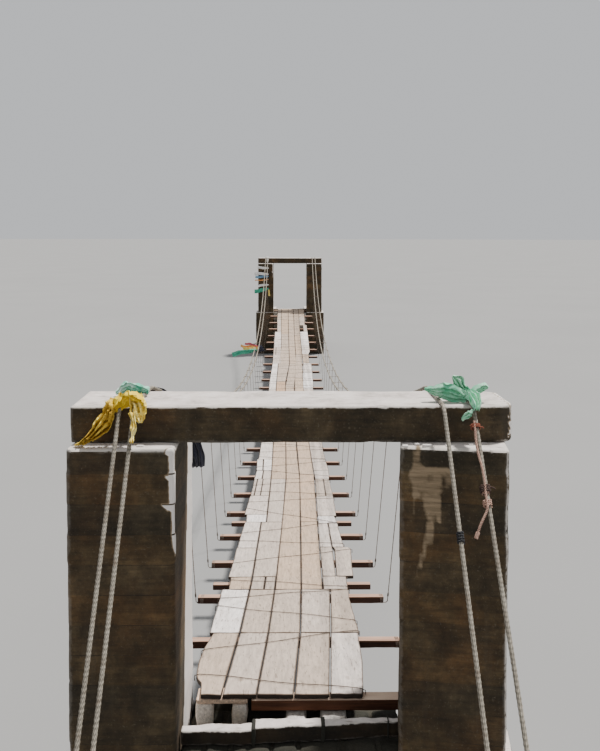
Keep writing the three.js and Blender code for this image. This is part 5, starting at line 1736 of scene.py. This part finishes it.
# %% [markdown]
# ## Rope grips at the anchors
# Where a rope goes into its block, the real end is turned back and held by grips. Each grip is a
# saddle with a U-shaped bolt and two nuts, and three stand in a row on every rope.

# %% Grips
NUT_RADIUS, NUT_HEIGHT = 0.009, 0.012
NUT_RINGS = ((0, 0.85), (0.15, 1), (0.85, 1), (1, 0.85))  # share of the height, share of the radius
LEG_SPREAD, LEG_DIAMETER = 0.021, 0.009
BOLT_LINE = ((-1, 0.034), (-1, 0.0), (-0.7, -0.016), (0, -0.023), (0.7, -0.016), (1, 0.0), (1, 0.034))
SADDLE_SIZE, SADDLE_LIFT = (0.062, 0.03, 0.014), 0.019
NUT_LIFT = 0.0265
GRIP_PLACES = (0.12, 0.26, 0.4)


def nut(centre, axis):
    """A six-sided nut along an axis."""
    axis = axis / np.linalg.norm(axis)
    side = np.cross(axis, (0.3, 0.5, 0.9))
    side /= np.linalg.norm(side)
    up = np.cross(axis, side)
    points = []
    for along, scale in NUT_RINGS:
        for k in range(6):
            t = k / 6 * 2 * math.pi
            outward = (side * math.cos(t) + up * math.sin(t)) * NUT_RADIUS * scale
            points.append(centre + axis * NUT_HEIGHT * along + outward)
    faces = []
    for ring in (0, 6, 12):
        for k in range(6):
            after = (k + 1) % 6
            faces.append([ring + k, ring + after, ring + 6 + after, ring + 6 + k])
    return Skin(points, faces + [[5, 4, 3, 2, 1, 0], [18, 19, 20, 21, 22, 23]], wear=1.0)


def grip(name, toward, distance_up):
    """One grip, placed by its distance up the rope from the anchor's top."""
    slope = math.radians(ropes[name][2])
    length = (over_lintel(LAND_START, 1, LAND_BEND, slope)[1] - ANCHOR_TOP) / math.sin(slope)
    point, direction = backstay_point(name, length - distance_up, toward)
    across = np.array([1.0, 0, 0])
    up = np.cross(across, direction)
    up *= np.sign(up[2])
    bolt = [point + across * side * LEG_SPREAD + up * height for side, height in BOLT_LINE]
    turn = Matrix((across, direction, up)).transposed().to_4x4()
    saddle = worn_block(SADDLE_SIZE, 0.02, 0.005, (0.004, 0.004, 0.004), 0, 0.0005, 7)
    saddle = saddle.moved(Matrix.Translation(point + up * SADDLE_LIFT) @ turn)
    nuts = [nut(point + across * side * LEG_SPREAD + up * NUT_LIFT, up) for side in (-1, 1)]
    return [laid_rope(rounded(bolt, 0.006), LEG_DIAMETER, 4, 0.4, 40, 2, 0.95), saddle, *nuts]


for name in ropes:
    for end, toward in (("near", -1), ("far", 1)):
        skins = [skin for place in GRIP_PLACES for skin in grip(name, toward, place)]
        make_piece(f"{end}_{name}_grips", skins, ROPE_STEEL)

# %% [markdown]
# ## Broken bits on the ledges
# The lintel and the piers have shed small chips of concrete. Some still lie on the near ledges.

# %% Chips
CHIP_PLACES = [(0.7, -15.34), (0.78, -15.3), (0.84, -15.33), (0.97, -15.32), (1.12, -15.29),
               (-0.95, -15.33)]
chips = []
for seed, (x, y) in enumerate(CHIP_PLACES, 400):
    size = chance.uniform(0.016, 0.04, 3) * (1.5, 1, 0.4)
    chip = worn_block(tuple(size), 0.02, 0.006, tuple(size * 0.25), 0.004, 0.004, seed, 0.6, 0.02)
    chips.append(chip.at((x + MIDDLE_X, y, PIER_TOP + size[2] / 2 - 0.002)))
make_piece("ledge_chips", chips, CONCRETE)

# %% [markdown]
# ## Light and stage
# In the picture the tops and the edges toward the right are bright, and the faces toward the eye
# are dark: the sun stands high, to the right and a little behind. A soft sun from there keeps that
# order, and a pale even sky lights the rest. The stage is one wide flat disc of the sky's own
# brightness, so no view meets an edge.

# %% Stage
STAGE_RINGS = (40, 150, 700)
STAGE_AROUND = 96
STAGE_LEVEL = -0.002


def stage_floor():
    """A flat pale floor that reaches the horizon."""
    around, level = STAGE_AROUND, STAGE_LEVEL
    points = [(r * math.cos(k / around * 2 * math.pi), r * math.sin(k / around * 2 * math.pi), level)
              for r in STAGE_RINGS for k in range(around)]
    points.append((0, 0, level))
    faces = [[len(points) - 1, k, (k + 1) % around] for k in range(around)]
    for ring in range(len(STAGE_RINGS) - 1):
        for k in range(around):
            inner, outer, after = ring * around, (ring + 1) * around, (k + 1) % around
            faces.append([inner + k, outer + k, outer + after, inner + after])
    mesh = bpy.data.meshes.new("stage_floor")
    mesh.from_pydata(points, [], faces)
    floor = bpy.data.objects.new("stage_floor", mesh)
    bpy.context.scene.collection.objects.link(floor)
    make = Finish("pale_floor", 0.95)
    soft = make.noise(make.place, 0.15, 2.0)
    pale = make.ramp(soft, [(0.3, (0.262, 0.262, 0.26)), (0.7, (0.276, 0.276, 0.274))])
    mesh.materials.append(make.done(pale))
    floor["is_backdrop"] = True


stage_floor()
print("stage radius:", STAGE_RINGS[-1], "m")

# %% [markdown]
# The lamp's disc is wider than the real sun's, which softens the shadows as a thin haze does.

# %% Sun and sky
TOWARD_SUN = Vector((0.3, 0.25, 0.9))
SUN_STRENGTH, SUN_WIDTH, SUN_COLOUR = 6.2, math.radians(4), (1.0, 0.965, 0.92)
SKY_STRENGTH, SKY_COLOUR = 0.67, (0.95, 0.97, 1.0, 1)
sun_data = bpy.data.lights.new("soft_sun", "SUN")
sun_data.energy = SUN_STRENGTH
sun_data.angle = SUN_WIDTH
sun_data.color = SUN_COLOUR
sun = bpy.data.objects.new("soft_sun", sun_data)
sun.rotation_euler = TOWARD_SUN.to_track_quat("Z", "Y").to_euler()
bpy.context.scene.collection.objects.link(sun)
world = bpy.data.worlds.new("pale_sky")
world.use_nodes = True
sky = world.node_tree.nodes["Background"]
sky.inputs["Color"].default_value = SKY_COLOUR
sky.inputs["Strength"].default_value = SKY_STRENGTH
bpy.context.scene.world = world
print("sun height:", round(math.degrees(math.asin(TOWARD_SUN.normalized().z))), "degrees")

# %% [markdown]
# The box of the dressed bridge is measured, and its triangles are counted.

# %% Measure the box and count the triangles
low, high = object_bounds()
total = sum(sum(len(p.vertices) - 2 for p in o.data.polygons) for o in bpy.data.objects
            if o.type == "MESH" and not o.hide_render)
print("triangles:", total)
